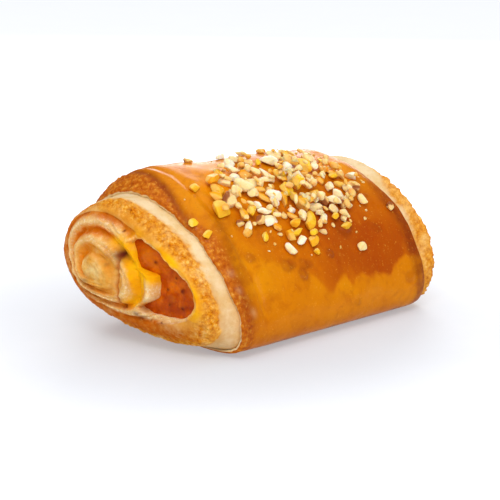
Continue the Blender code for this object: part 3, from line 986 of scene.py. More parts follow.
    def fine_relief(
        self, x: Array, y: Array, z: Array, grade: Array, marks: Marks
    ) -> tuple[Array, Array, Array]:
        """Add the filling's channel, flaky lines, pits and the rim's crumbs.

        Args:
            x: Places along the roll.
            y: Places across it.
            z: Heights.
            grade: Grades of the points.
            marks: The finish's marks, of which the toasted rim and the seam have relief.

        Returns:
            The moved points.
        """
        s = self.shape
        side = float(self.end.value)
        spots = joined(x, y, z)
        on_face = grade == 0.0
        phase, share = s.spiral_phase(y, z)
        layer = self.layers(phase, spots)
        folds = grain(spots, 4.2, 33, 2) * (0.75 - 0.35 * rise(0.35, 0.7, share))
        rough = 0.2 * grain(spots, 1.6, 32, 3) + folds
        pits = pimples(spots, 1.3, 0.4, 34)
        relief = 0.3 * layer * rise(0.1, 0.3, share) + rough - 0.2 * pits
        deep = np.where(np.round(phase) == 2.0, 1.0, 0.45) * dimple(phase - np.round(phase), 0.17)
        relief = relief - 0.9 * deep * rise(0.2, 0.4, share) * fall(0.9, 1.0, share)
        lift = np.where(on_face, relief - 0.9 * marks["seam"], 0.35 * rough)
        crumbs = pimples(spots, 1.5, 0.8, 35) + 0.9 * grain(spots, 1.1, 36, 2)
        reach, angle = s.about_spiral(y, z)
        calm = 1.0 - 0.7 * rise(1.1, 1.9, np.abs(angle))
        lift = lift + marks["toast"] * np.where(on_face, 0.18, 0.46 * calm) * (crumbs - 0.35)
        depth = s.fill_depth(y, z)
        tooth = dimple(depth + 1.1, 1.3) * rise(16.0, 21.0, reach)
        inside = reach < s.fill_inner_reach + 0.5
        lift = lift + np.where(on_face & inside, 0.55 * tooth, 0.0)
        out_x = x + side * np.where(on_face, lift, 0.0)
        fill_x = s.fill_left_x if self.end is End.LEFT else s.fill_right_x
        floor_x = fill_x - side * self.channel_floor
        ragged = 0.12 * grain(spots, 1.2, 37, 2)
        cut = np.where(on_face, rise(-0.35, 0.5, depth + ragged), 0.0)
        out_x = out_x * (1.0 - cut) + floor_x * cut
        away = np.hypot(y - s.axis[0], z - s.axis[1])
        push = np.where(on_face, 0.0, lift) * fall(0.6, 0.75, grade) / away
        push = push * rise(0.0, 3.0, z)
        y = y + (y - s.axis[0]) * push
        z = np.maximum(z + (z - s.axis[1]) * push, 0.0)
        return out_x + side * 0.5 * push * away, y, z

    @staticmethod
    def layers(phase: Array, spots: Array) -> Array:
        """Height, -1 to 1, of the thin leaves within one turn of the dough."""
        wave = np.sin(TURN * (3.0 * phase + 0.55 * grain(spots, 6.0, 31, 2)))
        return wave * (0.65 + 0.35 * grain(spots, 9.0, 38, 2))

    def marks(self, x: Array, y: Array, z: Array, grade: Array) -> Marks:
        """Where the end is syrupy, yolk yellow, toasted, charred or in the pale neck, whose tan is
        partly painted shade.

        Args:
            x: Places along the roll.
            y: Places across it.
            z: Heights.
            grade: Grades of the points.

        Returns:
            Marks for the rolled dough's finish.
        """
        s = self.shape
        spots = joined(x, y, z)
        phase, share = s.spiral_phase(y, z)
        reach, angle = s.about_spiral(y, z)
        on_face = grade == 0.0
        mottle = grain(spots, 2.2, 41, 3)
        slow = grain(spots, 7.0, 42, 2)
        face = np.where(on_face, 1.0, 0.0)
        out = reach / s.edge_reach(angle)
        groove = 0.5 + 0.5 * np.cos(TURN * (phase + 0.06 * mottle))
        number = np.round(phase)
        upper = rise(-0.1, 0.7, angle) * fall(2.2, 2.9, angle)
        side_turn = fall(0.55, 1.1, np.abs(angle + 0.1))
        first = np.where(number <= 1.0, 0.62 * rise(0.15, 0.35, share), 0.0)
        second = np.where(number == 2.0, 0.45 + 0.55 * np.maximum(upper, 0.8 * side_turn), 0.0)
        third = np.where(number >= 3.0, 0.5 + 0.2 * upper, 0.0)
        syrup = 1.2 * groove**0.7 * (first + second + third) * (0.85 + 0.4 * slow) * face
        depth = s.fill_depth(y, z)
        low_side = rise(-0.62, -0.3, angle) * fall(0.6, 0.95, angle)
        yolk = np.where(number == 2.0, groove**1.0 * low_side * (0.75 + 0.5 * slow), 0.0)
        for spot_y, spot_z, radius, amount in self.yolk_spots:
            yolk = yolk + amount * dimple(np.hypot(y - spot_y, z - spot_z), radius)
        outer = s.fill_outer(np.clip(angle, s.fill_low, s.fill_high))
        beside = (reach > outer - 0.8) & (angle > -0.25)
        rim_side = fall(0.36, 0.6, angle) * dimple(depth + 2.1, 2.2) * (0.8 + 0.6 * slow)
        yolk = yolk + np.where(beside, rim_side, 0.0)
        yolk = yolk * fall(0.08, 0.26, grade)
        knots, starts = self.neck_left if self.end is End.LEFT else self.neck_right
        neck_from = np.interp(np.degrees(angle), knots, starts)
        crest = rise(0.03, 0.24, grade) * fall(-0.04, 0.1, grade - neck_from)
        crest = crest * (0.75 + 0.3 * dimple(grade - 0.3, 0.14))
        bottom = rise(-0.2, -0.55, angle) * (1.0 - 0.5 * rise(-1.6, -2.4, angle))
        back = rise(1.3, 2.2, np.abs(angle)) * 0.9
        edges = np.where(on_face, rise(0.9, 1.0, out), fall(0.16, 0.4, grade))
        baked = 1.2 * edges * np.maximum(bottom, back) * (0.85 + 0.3 * mottle)
        ring = dimple(out - 0.95, 0.055) * face * rise(0.6, 1.1, angle)
        baked = baked + 0.85 * ring * (0.75 + 0.5 * slow)
        ridge_top = face * (1.0 - groove) ** 2 * 0.2
        edge_gold = face * rise(0.86, 1.0, out) * 0.3
        glaze = np.where(on_face, rise(0.84, 0.95, out), fall(0.1, 0.26, grade))
        glaze = glaze * rise(-0.5, 0.1, angle)
        syrup = syrup + 0.6 * glaze * (0.8 + 0.4 * slow) * fall(0.9, 2.0, angle)
        toast = np.maximum(np.maximum(crest, ridge_top * (0.7 + 0.9 * mottle)), edge_gold)
        toast = toast * (0.9 + 0.25 * mottle)
        cream = face * dimple(depth + 0.55, 0.6) * 0.9
        low_lip = dimple(z - 12.6, 2.6) * rise(-12.0, -17.0, y) * (1.0 - edge_gold)
        ridges = 0.9 * (1.0 - groove) ** 1.5 * rise(0.3, 0.8, share)
        cream = cream + face * (low_lip + ridges)
        leaf = face * rise(0.1, 0.3, share) * fall(0.86, 0.96, out)
        leaf = leaf * rise(0.1, 0.9, -self.layers(phase, spots)) * (0.7 + 0.4 * mottle)
        seam = face * dimple(y + 7.1 + 0.016 * (z - 23.4) ** 2 + 0.4 * mottle, 0.85)
        seam = seam * rise(12.0, 15.5, z) * fall(33.0, 36.0, z)
        char = np.zeros_like(x)
        for spot_y, spot_z, wide, high, amount in self.dark_spots:
            away = np.hypot((y - spot_y) / wide, (z - spot_z) / high)
            char = char + amount * dimple(away, 1.0) * face
        neck = rise(-0.05, 0.08, grade - neck_from + 0.05 * mottle)
        wall = np.where(on_face, rise(-0.2, 0.8, depth), 0.0)
        middle = 2.0 * (grade - 0.5 * (neck_from + 0.88)) / np.maximum(0.88 - neck_from, 0.1)
        # The neck's tan is partly baked colour and partly painted shade. It grows towards the
        # band's edges, is strongest below about 10 mm, and fades to a quarter by 42 mm.
        tan = 0.62 + 0.38 * np.clip(np.abs(middle), 0.0, 1.0) ** 1.5
        tan = (0.25 + 0.75 * fall(10.0, 42.0, z + 4.0 * slow)) * tan
        return {
            "syrup": syrup,
            "yolk": yolk,
            "cream": cream,
            "leaf": leaf,
            "seam": seam,
            "baked": baked,
            "toast": toast * (1.0 - neck),
            "char": char,
            "neck": neck,
            "tan": neck * tan,
            "wall": wall,
        }


@dataclass
class ApricotFilling(SubAssembly):
    """The band of apricot filling, which shows at both ends. A seed is y, z and radius."""

    turns: int = 170
    across: int = 120
    gap: float = 0.8
    lump: float = 0.8
    swell: float = 2.6
    seeds: Rows = (
        (-32.0, 17.4, 0.75), (-21.9, 32.4, 0.6), (-31.8, 23.4, 0.9), (-37.6, 16.4, 0.7),
        (-26.6, 18.0, 0.55), (-29.2, 27.6, 0.5), (-25.6, 23.2, 0.5),
    )

    def section(self) -> tuple[Array, Array]:
        """Grid over the crescent, a little way into the dough round it.

        Returns:
            Places across the roll, and heights.
        """
        s = self.shape
        angle = np.linspace(s.fill_low - 0.03, s.fill_high + 0.03, self.turns + 1)
        held = np.clip(angle, s.fill_low, s.fill_high)
        inner = s.fill_inner(held) - self.gap
        outer = s.fill_outer(held) + self.gap
        share = np.linspace(0.0, 1.0, self.across + 1)
        reach = inner[:, None] + (outer - inner)[:, None] * share[None, :]
        y = s.spiral[0] - np.cos(angle)[:, None] * reach
        return y, s.spiral[1] + np.sin(angle)[:, None] * reach

    def cap(self, y: Array, z: Array, end: End) -> tuple[Array, Array]:
        """Lumpy end surface.

        Args:
            y: Places across the roll.
            z: Heights.
            end: Which end.

        Returns:
            Places along the roll, and how high each lump stands, from 0 to 1.
        """
        spots = np.stack([y, z, 100.0 * end.value + 0.0 * y], axis=-1)
        high = 0.75 * pimples(spots, 4.2, 0.85, 51) + 0.35 * pimples(spots, 1.9, 0.7, 52)
        high = high + 0.22 * grain(spots, 2.6, 53, 2)
        for seed_y, seed_z, radius in self.seeds:
            high = high + 0.5 * dimple(np.hypot(y - seed_y, z - seed_z), radius)
        fill_x = self.shape.fill_left_x if end is End.LEFT else self.shape.fill_right_x
        swell = self.swell * dimple(np.hypot(y + 17.5, z - 33.6), 6.5)
        return fill_x + end.value * (self.lump * (high - 0.35) + swell), high

    def build(self) -> None:
        """Make the closed band with its two lumpy ends."""
        y, z = self.section()
        left_x, left_high = self.cap(y, z, End.LEFT)
        right_x, right_high = self.cap(y, z, End.RIGHT)
        caps = [self.shape.placed(x, y, z).reshape(-1, 3) for x in (left_x, right_x)]
        index = np.arange(y.size).reshape(y.shape)
        a, b, c, d = index[:-1, :-1], index[1:, :-1], index[1:, 1:], index[:-1, 1:]
        left = np.stack([a, d, c, b], axis=-1).reshape(-1, 4)
        right = np.stack([a, b, c, d], axis=-1).reshape(-1, 4) + y.size
        loop = [index[:-1, 0], index[-1, :-1], index[:0:-1, -1], index[0, :0:-1]]
        loop = np.concatenate(loop)
        after = np.roll(loop, -1)
        wall = np.stack([loop, after, after + y.size, loop + y.size], axis=-1)
        # Lighter orange near the top of the filling, stronger at the left end.
        glow = 0.45 * dimple(np.hypot(y + 18.8, z - 34.6), 3.0)
        glow = glow + 0.3 * dimple(np.hypot(y + 21.5, z - 31.4), 2.2)
        seed = sum(
            dimple(np.hypot(y - seed_y, z - seed_z), 1.05 * radius)
            for seed_y, seed_z, radius in self.seeds
        )
        pairs = {"glow": (glow, 0.4 * glow), "seed": (seed, seed), "lump": (left_high, right_high)}
        marks = {label: np.concatenate([a.ravel(), b.ravel()]) for label, (a, b) in pairs.items()}
        faces = np.vstack([left, right, wall]).tolist()
        piece = surface("apricot_filling", np.concatenate(caps), faces, marks)
        self.dress(piece, "jam", "apricot_jam")


@dataclass(frozen=True)
class Nut:
    """Place and size of one chopped nut on the wrap, in millimetres and radians."""

    x: float
    angle: float
    length: float
    width: float
    thick: float
    spin: float
    lift: float
    lean: tuple[float, float] = (0.0, 0.0)


class NutKind(Enum):
    """How a chopped nut was treated."""

    BLANCHED = "nuts_blanched"
    GLAZED = "nuts_glazed"
    SKINNED = "nuts_skinned"
    CRUMB = "nut_crumbs"


@dataclass
class ChunkShapes:
    """Chopped-nut shapes of unit size: spheres cut by flat planes, with soft edges."""

    name: str
    count: int
    subdivisions: int
    cuts: int = 12
    softness: float = 64.0
    seed: int = 3

    def build(self) -> bpy.types.Collection:
        """Make the shapes.

        Returns:
            A collection of their own, outside the scene.
        """
        rng = np.random.default_rng(self.seed)
        home = bpy.data.collections.new(self.name)
        for k in range(self.count):
            body = bmesh.new()
            bmesh.ops.create_icosphere(body, subdivisions=self.subdivisions, radius=1.0)
            rays = np.array([vertex.co[:] for vertex in body.verts])
            rays /= np.linalg.norm(rays, axis=1)[:, None]
            reach, corner = self.cut(rays, rng)
            reach = reach * (1.0 + 0.045 * grain(rays + 7.0 * k, 0.5, 61, 3))
            for vertex, spot in zip(body.verts, rays * reach[:, None]):
                vertex.co = spot
            mesh = bpy.data.meshes.new(f"{self.name}_{k}")
            body.to_mesh(mesh)
            body.free()
            mesh.shade_smooth()
            flank = rise(0.1, 0.45, rays[:, 1] + 0.25 * grain(rays + 3.0 * k, 0.8, 62, 2))
            store(mesh, {"corner": corner, "flank": flank})
            home.objects.link(bpy.data.objects.new(mesh.name, mesh))
        return home

    def cut(self, rays: Array, rng: np.random.Generator) -> tuple[Array, Array]:
        """Cut a unit shape by flat planes.

        Args:
            rays: Directions from the middle.
            rng: Source of the planes.

        Returns:
            Reach along each ray, and how near each point is to an edge, from 0 to 1.
        """
        normals = rng.normal(size=(self.cuts, 3))
        normals /= np.linalg.norm(normals, axis=1)[:, None]
        depth = rng.uniform(0.24, 0.5, self.cuts)
        pull = np.clip(rays @ normals.T / depth, 0.0, None) ** self.softness
        round_pull = (1.0 / 0.54) ** self.softness
        total = pull.sum(axis=1) + round_pull
        corner = 1.0 - np.maximum(pull.max(axis=1), round_pull) / total
        return total ** (-1.0 / self.softness), np.clip(corner / 0.6, 0.0, 1.0)


@dataclass
class NutTopping:
    """Chopped nuts in a pile on the front shoulder, with strays and crumbs round it.

    The pile is an oval by place along the roll and angle in degrees, leaning by so many
    degrees a millimetre. A stray is x, angle, length, width and spin, angles in degrees.
    Nuts nearer than the nearest share of their reach find no room, and leaning ones are
    stacked up. Low nuts are glazed more often.
    """

    shape: RollShape
    seed: int = 41
    count: int = 93
    pile_x: float = 6.0
    pile_angle: float = 51.0
    pile_length: float = 37.0
    pile_arc: float = 37.0
    pile_lean: float = 0.22
    sunk: float = 0.17
    trim: float = 0.9
    chips: int = 250
    crumbs: int = 80
    arm: float = 38.0
    tries: int = 60
    nearest: float = 0.56
    leaning: float = 0.84
    stacked: float = 0.3
    bits_from: float = -38.0
    bits_to: float = 46.0
    bare_tops: float = 0.55
    low_angle: float = 24.0
    low_x: float = -24.0
    glazed_low: float = 0.6
    glazed_high: float = 0.34
    skinned_above: float = 0.93
    strays: Rows = (
        (-31.2, 64.0, 5.6, 3.9, 20.0), (-41.2, 40.0, 4.6, 3.6, 80.0),
        (-40.4, 29.0, 4.8, 3.8, 35.0), (-25.8, 31.5, 4.4, 3.1, 10.0),
        (-4.0, 19.0, 6.4, 3.6, 15.0), (-9.8, 11.0, 6.5, 4.6, 140.0),
        (1.2, 12.5, 6.6, 4.8, 20.0), (1.0, 7.0, 3.7, 3.1, 0.0),
        (23.5, 4.0, 4.7, 4.3, 70.0), (37.0, 30.5, 5.5, 4.8, 120.0),
        (47.6, 22.5, 4.7, 4.5, 0.0), (20.5, 16.5, 6.2, 4.2, 5.0),
        (-15.5, 96.0, 4.2, 3.4, 0.0), (3.0, 100.0, 6.4, 4.4, 30.0),
        (12.5, 99.0, 5.6, 4.4, 60.0), (23.5, 99.0, 5.4, 3.8, 90.0),
        (-2.0, 75.0, 4.6, 3.4, 0.0), (-8.2, 57.5, 8.6, 5.4, 10.0),
        (-13.0, 29.0, 8.2, 4.8, 0.0), (0.2, 41.0, 8.8, 4.0, 75.0),
    )

    def layout(self) -> list[Nut]:
        """Work out the nuts' places and sizes, the same as those of the solids.

        Returns:
            The nuts.
        """
        rng = np.random.default_rng(self.seed)
        rows: list[tuple[float, ...]] = []
        for x, degrees, length, width, spin in self.strays:
            angle, spin = math.radians(degrees), math.radians(spin)
            rows.append((x, angle, length, width, 0.62 * width, spin, 0.0))
        lengths = np.clip(rng.gamma(9.0, 0.58, self.count) + 1.2, 3.6, 9.2)
        for length in np.sort(lengths)[::-1]:
            row = self.find_room(float(length), rows, rng)
            if row is not None:
                rows.append(row)
        rng = np.random.default_rng(self.seed + 1)
        nuts = []
        for row in rows:
            lean = rng.uniform(-0.3, 0.3, 2)
            # The solids draw each nut's corners here, so these draws keep the two in step.
            rng.normal(size=(13, 3))
            rng.uniform(0.95, 1.12, (13, 1))
            nuts.append(Nut(*row, lean=(float(lean[0]), float(lean[1]))))
        return nuts

    def in_pile(self, rng: np.random.Generator, power: float, size: float) -> tuple[float, float]:
        """Draw a place in the pile.

        Args:
            rng: Source of the draw.
            power: How even the pile is, 0.5 for an even one.
            size: How far the draw reaches, against the pile.

        Returns:
            Place along the roll, and angle.
        """
        far = rng.random() ** power * size
        turn = rng.uniform(0.0, TURN)
        x = self.pile_x + self.pile_length * far * math.cos(turn)
        degrees = self.pile_angle + self.pile_arc * far * math.sin(turn)
        return x, math.radians(degrees + self.pile_lean * (x - self.pile_x))

    def find_room(
        self, length: float, rows: list[tuple[float, ...]], rng: np.random.Generator
    ) -> tuple[float, ...] | None:
        """Find a free place in the pile for one nut.

        Args:
            length: Its length.
            rows: The nuts that lie there already.
            rng: Source of the tries.

        Returns:
            The nut's row, or nothing where no try fitted.
        """
        for _ in range(self.tries):
            x, angle = self.in_pile(rng, 0.68, 1.0)
            width = length * rng.uniform(0.6, 0.92)
            lift, clear = 0.0, True
            for other in rows:
                away = math.hypot(x - other[0], self.arm * (angle - other[1]))
                touch = 0.25 * (length + width + other[2] + other[3])
                if away < self.nearest * touch:
                    clear = False
                elif away < self.leaning * touch:
                    lift = max(lift, self.stacked * other[4])
            if clear:
                thick = width * rng.uniform(0.58, 0.85)
                return x, angle, length, width, thick, rng.uniform(0.0, math.pi), lift
        return None

    def small_bits(self, nuts: list[Nut]) -> list[Nut]:
        """Lay chips between the nuts and crumbs round the pile.

        Args:
            nuts: The nuts that lie there.

        Returns:
            The chips and crumbs.
        """
        rng = np.random.default_rng(self.seed + 7)
        bits = []
        for k in range(self.chips + self.crumbs):
            chip = k < self.chips
            length = rng.uniform(1.8, 4.0) if chip else rng.uniform(0.7, 1.5)
            x, angle = self.in_pile(rng, *((0.6, 1.0) if chip else (0.5, 1.3)))
            if not self.bits_from < x < self.bits_to:
                continue
            width = length * rng.uniform(0.6, 0.95)
            thick = width * rng.uniform(0.5, 0.85)
            tops = (
                0.72 * nut.thick + nut.lift
                for nut in nuts
                if math.hypot(x - nut.x, self.arm * (angle - nut.angle))
                < 0.32 * (nut.length + nut.width)
            )
            lift = max(tops, default=0.0)
            if lift > 0.0 and rng.random() < self.bare_tops:
                continue
            lean = rng.uniform(-0.5, 0.5, 2)
            spin = rng.uniform(0.0, math.pi)
            bits.append(Nut(x, angle, length, width, thick, spin, lift, (lean[0], lean[1])))
        return bits

    def kinds(self, nuts: list[Nut]) -> dict[NutKind, list[Nut]]:
        """Share the nuts out among the ways they were treated.

        Args:
            nuts: The larger nuts.

        Returns:
            The nuts of each kind.
        """
        rng = np.random.default_rng(self.seed + 3)
        shared: dict[NutKind, list[Nut]] = {kind: [] for kind in NutKind}
        for nut in nuts:
            draw = rng.random()
            low = math.degrees(nut.angle) < self.low_angle or nut.x < self.low_x
            if draw < (self.glazed_low if low else self.glazed_high):
                shared[NutKind.GLAZED].append(nut)
            elif draw > self.skinned_above:
                shared[NutKind.SKINNED].append(nut)
            else:
                shared[NutKind.BLANCHED].append(nut)
        return shared

    def frame_at(self, x: float, angle: float) -> tuple[Array, Array, Array]:
        """Find where a nut lies.

        Args:
            x: Place along the roll.
            angle: Angle about its middle line.

        Returns:
            Point on the wrap, its outward normal and its direction along the roll.
        """
        s = self.shape
        spots = []
        for dx, turn in ((0.0, 0.0), (0.6, 0.0), (0.0, 0.02)):
            bent = np.array([angle + turn])
            y, z = s.on_section(s.crust_reach(np.array([x + dx]), bent), bent)
            spots.append(s.placed(np.array([x + dx]), y, z)[0])
        normal = np.cross(spots[1] - spots[0], spots[2] - spots[0])
        along = spots[1] - spots[0]
        return spots[0], normal / np.linalg.norm(normal), along / np.linalg.norm(along)

    def points_object(self, name: str, nuts: list[Nut]) -> Piece:
        """Make a point for each nut, with its turn, size and tint as attributes.

        Args:
            name: Name of the object.
            nuts: The nuts.

        Returns:
            The points.
        """
        rng = np.random.default_rng(len(name) + self.seed)
        places, turns, sizes = [], [], []
        for nut in nuts:
            spot, normal, along = self.frame_at(nut.x, nut.angle)
            side = np.cross(normal, along)
            up = normal + nut.lean[0] * along + nut.lean[1] * side
            up /= np.linalg.norm(up)
            first = math.cos(nut.spin) * along + math.sin(nut.spin) * side
            first -= up * float(first @ up)
            first /= np.linalg.norm(first)
            second = np.cross(up, first)
            places.append(spot + normal * (nut.lift + nut.thick * (0.5 - self.sunk)))
            turns.append(Matrix((first, second, up)).transposed().to_euler()[:])
            slim = rng.uniform(0.78, 1.04)
            trim = self.trim if nut.length > 4.5 else 1.0
            sizes.append(np.array([nut.length, nut.width * slim, nut.thick]) * trim * MM)
        mesh = bpy.data.meshes.new(name)
        mesh.from_pydata((np.array(places) * MM).tolist(), [], [])
        marks = {"turn": np.array(turns), "size": np.array(sizes)}
        store(mesh, marks | {"tint": rng.random(len(nuts))})
        return in_scene(name, mesh)

    @staticmethod
    def scatter_tree() -> bpy.types.GeometryNodeTree:
        """Build the node tree that lays one of the chunk shapes on each point.

        Returns:
            The tree.
        """
        tree = bpy.data.node_groups.new("lay_chopped_nuts", "GeometryNodeTree")
        for label, kind in (
            ("Geometry", "Geometry"), ("Chunks", "Collection"), ("Scale", "Float"),
            ("Kinds", "Int"), ("Seed", "Int"), ("Finish", "Material"),
        ):
            tree.interface.new_socket(label, in_out="INPUT", socket_type="NodeSocket" + kind)
        tree.interface.new_socket("Geometry", in_out="OUTPUT", socket_type="NodeSocketGeometry")
        given = add(tree, "NodeGroupInput").node.outputs
        values = {"Collection": given["Chunks"], "Separate Children": True, "Reset Children": True}
        chunks = add(tree, "GeometryNodeCollectionInfo", values)
        turn, size = (
            add(tree, "GeometryNodeInputNamedAttribute", {"Name": label}, data_type="FLOAT_VECTOR")
            for label in ("turn", "size")
        )
        values = {0: size, "Scale": given["Scale"]}
        scale = add(tree, "ShaderNodeVectorMath", values, operation="SCALE")
        last = add(tree, "ShaderNodeMath", {0: given["Kinds"], 1: 1.0}, operation="SUBTRACT")
        values = {4: 0, 5: last, "Seed": given["Seed"]}
        pick = add(tree, "FunctionNodeRandomValue", values, 2, data_type="INT")
        values = {
            "Points": given["Geometry"],
            "Instance": chunks,
            "Pick Instance": True,
            "Instance Index": pick,
            "Rotation": turn,
            "Scale": scale,
        }
        laid = add(tree, "GeometryNodeInstanceOnPoints", values)
        whole = add(tree, "GeometryNodeRealizeInstances", {"Geometry": laid})
        values = {"Geometry": whole, "Material": given["Finish"]}
        add(tree, "NodeGroupOutput", {0: add(tree, "GeometryNodeSetMaterial", values)})
        return tree

    def lay(
        self,
        tree: bpy.types.GeometryNodeTree,
        kind: NutKind,
        nuts: list[Nut],
        chunks: bpy.types.Collection,
        finish: bpy.types.Material,
    ) -> Piece:
        """Lay the nuts of one kind and turn them into one plain mesh.

        Args:
            tree: The scatter tree.
            kind: Which nuts.
            nuts: Their places.
            chunks: The shapes to pick from.
            finish: Their material.

        Returns:
            The piece.
        """
        holder = self.points_object(kind.value + "_points", nuts)
        modifier = holder.modifiers.new("lay_nuts", "NODES")
        modifier.node_group = tree
        values = {
            "Chunks": chunks,
            "Scale": 1.0,
            "Kinds": len(chunks.objects),
            "Seed": self.seed,
            "Finish": finish,
        }
        for item in tree.interface.items_tree:
            if item.in_out == "INPUT" and item.name in values:
                modifier[item.identifier] = values[item.name]
        depsgraph = bpy.context.evaluated_depsgraph_get()
        laid = holder.evaluated_get(depsgraph)
        mesh = bpy.data.meshes.new_from_object(laid, depsgraph=depsgraph)
        mesh.name = kind.value
        piece = in_scene(kind.value, mesh)
        holder.modifiers.clear()
        bpy.data.objects.remove(holder)
        return piece

    def build(self) -> None:
        """Lay and dress the nuts of each kind."""
        nuts = self.layout()
        shared = self.kinds(nuts)
        shared[NutKind.CRUMB] = self.small_bits(nuts)
        large = ChunkShapes("nut_chunks", 16, 4).build()
        small = ChunkShapes("crumb_chunks", 8, 2, cuts=5, softness=9.0, seed=9).build()
        tree = self.scatter_tree()
        for kind, places in shared.items():
            chunks = small if kind is NutKind.CRUMB else large
            hand_over(self.lay(tree, kind, places, chunks, NUT_FINISHES[kind].make()), "dough")
        for home in (large, small):
            for chunk in list(home.objects):
                bpy.data.objects.remove(chunk)
            bpy.data.collections.remove(home)


def srgb(code: str) -> tuple[float, float, float, float]:
    """Linear colour of an sRGB hex value."""
    parts = [int(code[k : k + 2], 16) / 255.0 for k in (1, 3, 5)]
    return (*(p / 12.92 if p <= 0.04045 else ((p + 0.055) / 1.055) ** 2.4 for p in parts), 1.0)


def add(
    tree: Tree,
    kind: str,
    inputs: dict[int | str, object] | None = None,
    out: int | str = 0,
    stops: Stops = (),
    **settings: object,
) -> Socket | None:
    """Add a node with its settings, values and links.

    Args:
        tree: The node tree.
        kind: The node's type.
        inputs: Values, hex colours or sockets to link, by input name or number.
        out: Name or number of the output that is wanted.
        stops: Places and hex colours of a colour ramp.
        **settings: Properties of the node.

    Returns:
        The wanted output, or nothing from a node that has none.
    """
    node = tree.nodes.new(kind)
    for label, value in settings.items():
        setattr(node, label, value)
    for key, value in (inputs or {}).items():
        if isinstance(value, Socket):
            tree.links.new(value, node.inputs[key])
        else:
            is_hex = isinstance(value, str) and value.startswith("#")
            node.inputs[key].default_value = srgb(value) if is_hex else value
    for k, (place, code) in enumerate(stops):
        ramp = node.color_ramp.elements
        stop = ramp[k] if k < 2 else ramp.new(place)
        stop.position, stop.color = place, srgb(code)
    return node.outputs[out] if len(node.outputs) else None


@dataclass(frozen=True)
class Finish:
    """Finish as data: patterns, then layers of colour, roughness and fine relief.

    A noise is its name, the width of its lumps in millimetres, detail, roughness and
    distortion. A share is a product of terms, kept between 0 and 1. A term is a number, a
    mark or noise by name, or the range of one mapped smoothly onto another: its name, low,
    high, new low and new high. A paint is a colour, or a mark or noise with a ramp's stops.
    """

    name: str
    marks: tuple[str, ...] = ()
    noises: Noises = ()
    relief: float = 0.1
    constants: Constants = ()

    def layers(self) -> Layers:
        """Shares and paints, from the bottom up. The first one covers everything."""
        raise NotImplementedError

    def sums(self) -> Sums:
        """Shares that add up to the roughness and to the height of the fine relief."""
        raise NotImplementedError

    def share(self, tree: Tree, at: dict[str, Socket], terms: Terms) -> Socket | float:
        """Multiply terms.

        Args:
            tree: The material's nodes.
            at: The marks and noises.
            terms: What to multiply.

        Returns:
            The product.
        """
        total = None
        for term in terms:
            if isinstance(term, tuple):
                values = dict(zip(("Value", 1, 2, 3, 4), (at[term[0]], *term[1:])))
                term = add(tree, "ShaderNodeMapRange", values, interpolation_type="SMOOTHSTEP")
            term = at[term] if isinstance(term, str) else term
            if total is not None:
                values = {0: total, 1: term}
                term = add(tree, "ShaderNodeMath", values, operation="MULTIPLY", use_clamp=True)
            total = term
        return total

    def glow(self, tree: Tree, places: Socket) -> dict[str, object]:
        """Inputs of the shader that make the surface glow: none, unless a finish has some."""
        return {}

    def make(self) -> bpy.types.Material:
        """Build the material in Object coordinates.

        Returns:
            The material.
        """
        material = bpy.data.materials.new(self.name)
        material.use_nodes = True
        tree = material.node_tree
        tree.nodes.clear()
        places = add(tree, "ShaderNodeTexCoord", out="Object")
        at = {
            label: add(tree, "ShaderNodeAttribute", out="Fac", attribute_name=label)
            for label in self.marks
        }
        for label, width, detail, rough, warp in self.noises:
            values = {"Scale": 1.0 / (MM * width), "Detail": detail, "Roughness": rough}
            values |= {"Vector": places, "Distortion": warp}
            at[label] = add(tree, "ShaderNodeTexNoise", values, "Fac")
        colour = None
        for terms, paint in self.layers():
            if isinstance(paint, tuple):
                paint = add(tree, "ShaderNodeValToRGB", {0: at[paint[0]]}, stops=paint[1])
            if colour is not None:
                values = {0: self.share(tree, at, terms), 6: colour, 7: paint}
                paint = add(tree, "ShaderNodeMix", values, 2, data_type="RGBA")
            colour = paint
        totals = {}
        for label, parts in self.sums().items():
            total = None
            for operation, terms in parts:
                part = self.share(tree, at, terms)
                if total is not None:
                    values = {0: total, 1: part}
                    part = add(tree, "ShaderNodeMath", values, operation=operation, use_clamp=True)
                total = part
            totals[label] = total
        values = {"Height": totals["height"], "Distance": self.relief * MM, "Strength": 1.0}
        bump = add(tree, "ShaderNodeBump", values)
        values = {"Base Color": colour, "Roughness": totals["roughness"], "Normal": bump}
        values |= dict(self.constants) | self.glow(tree, places)
        shader = add(tree, "ShaderNodeBsdfPrincipled", values)
        add(tree, "ShaderNodeOutputMaterial", {"Surface": shader})
        return material


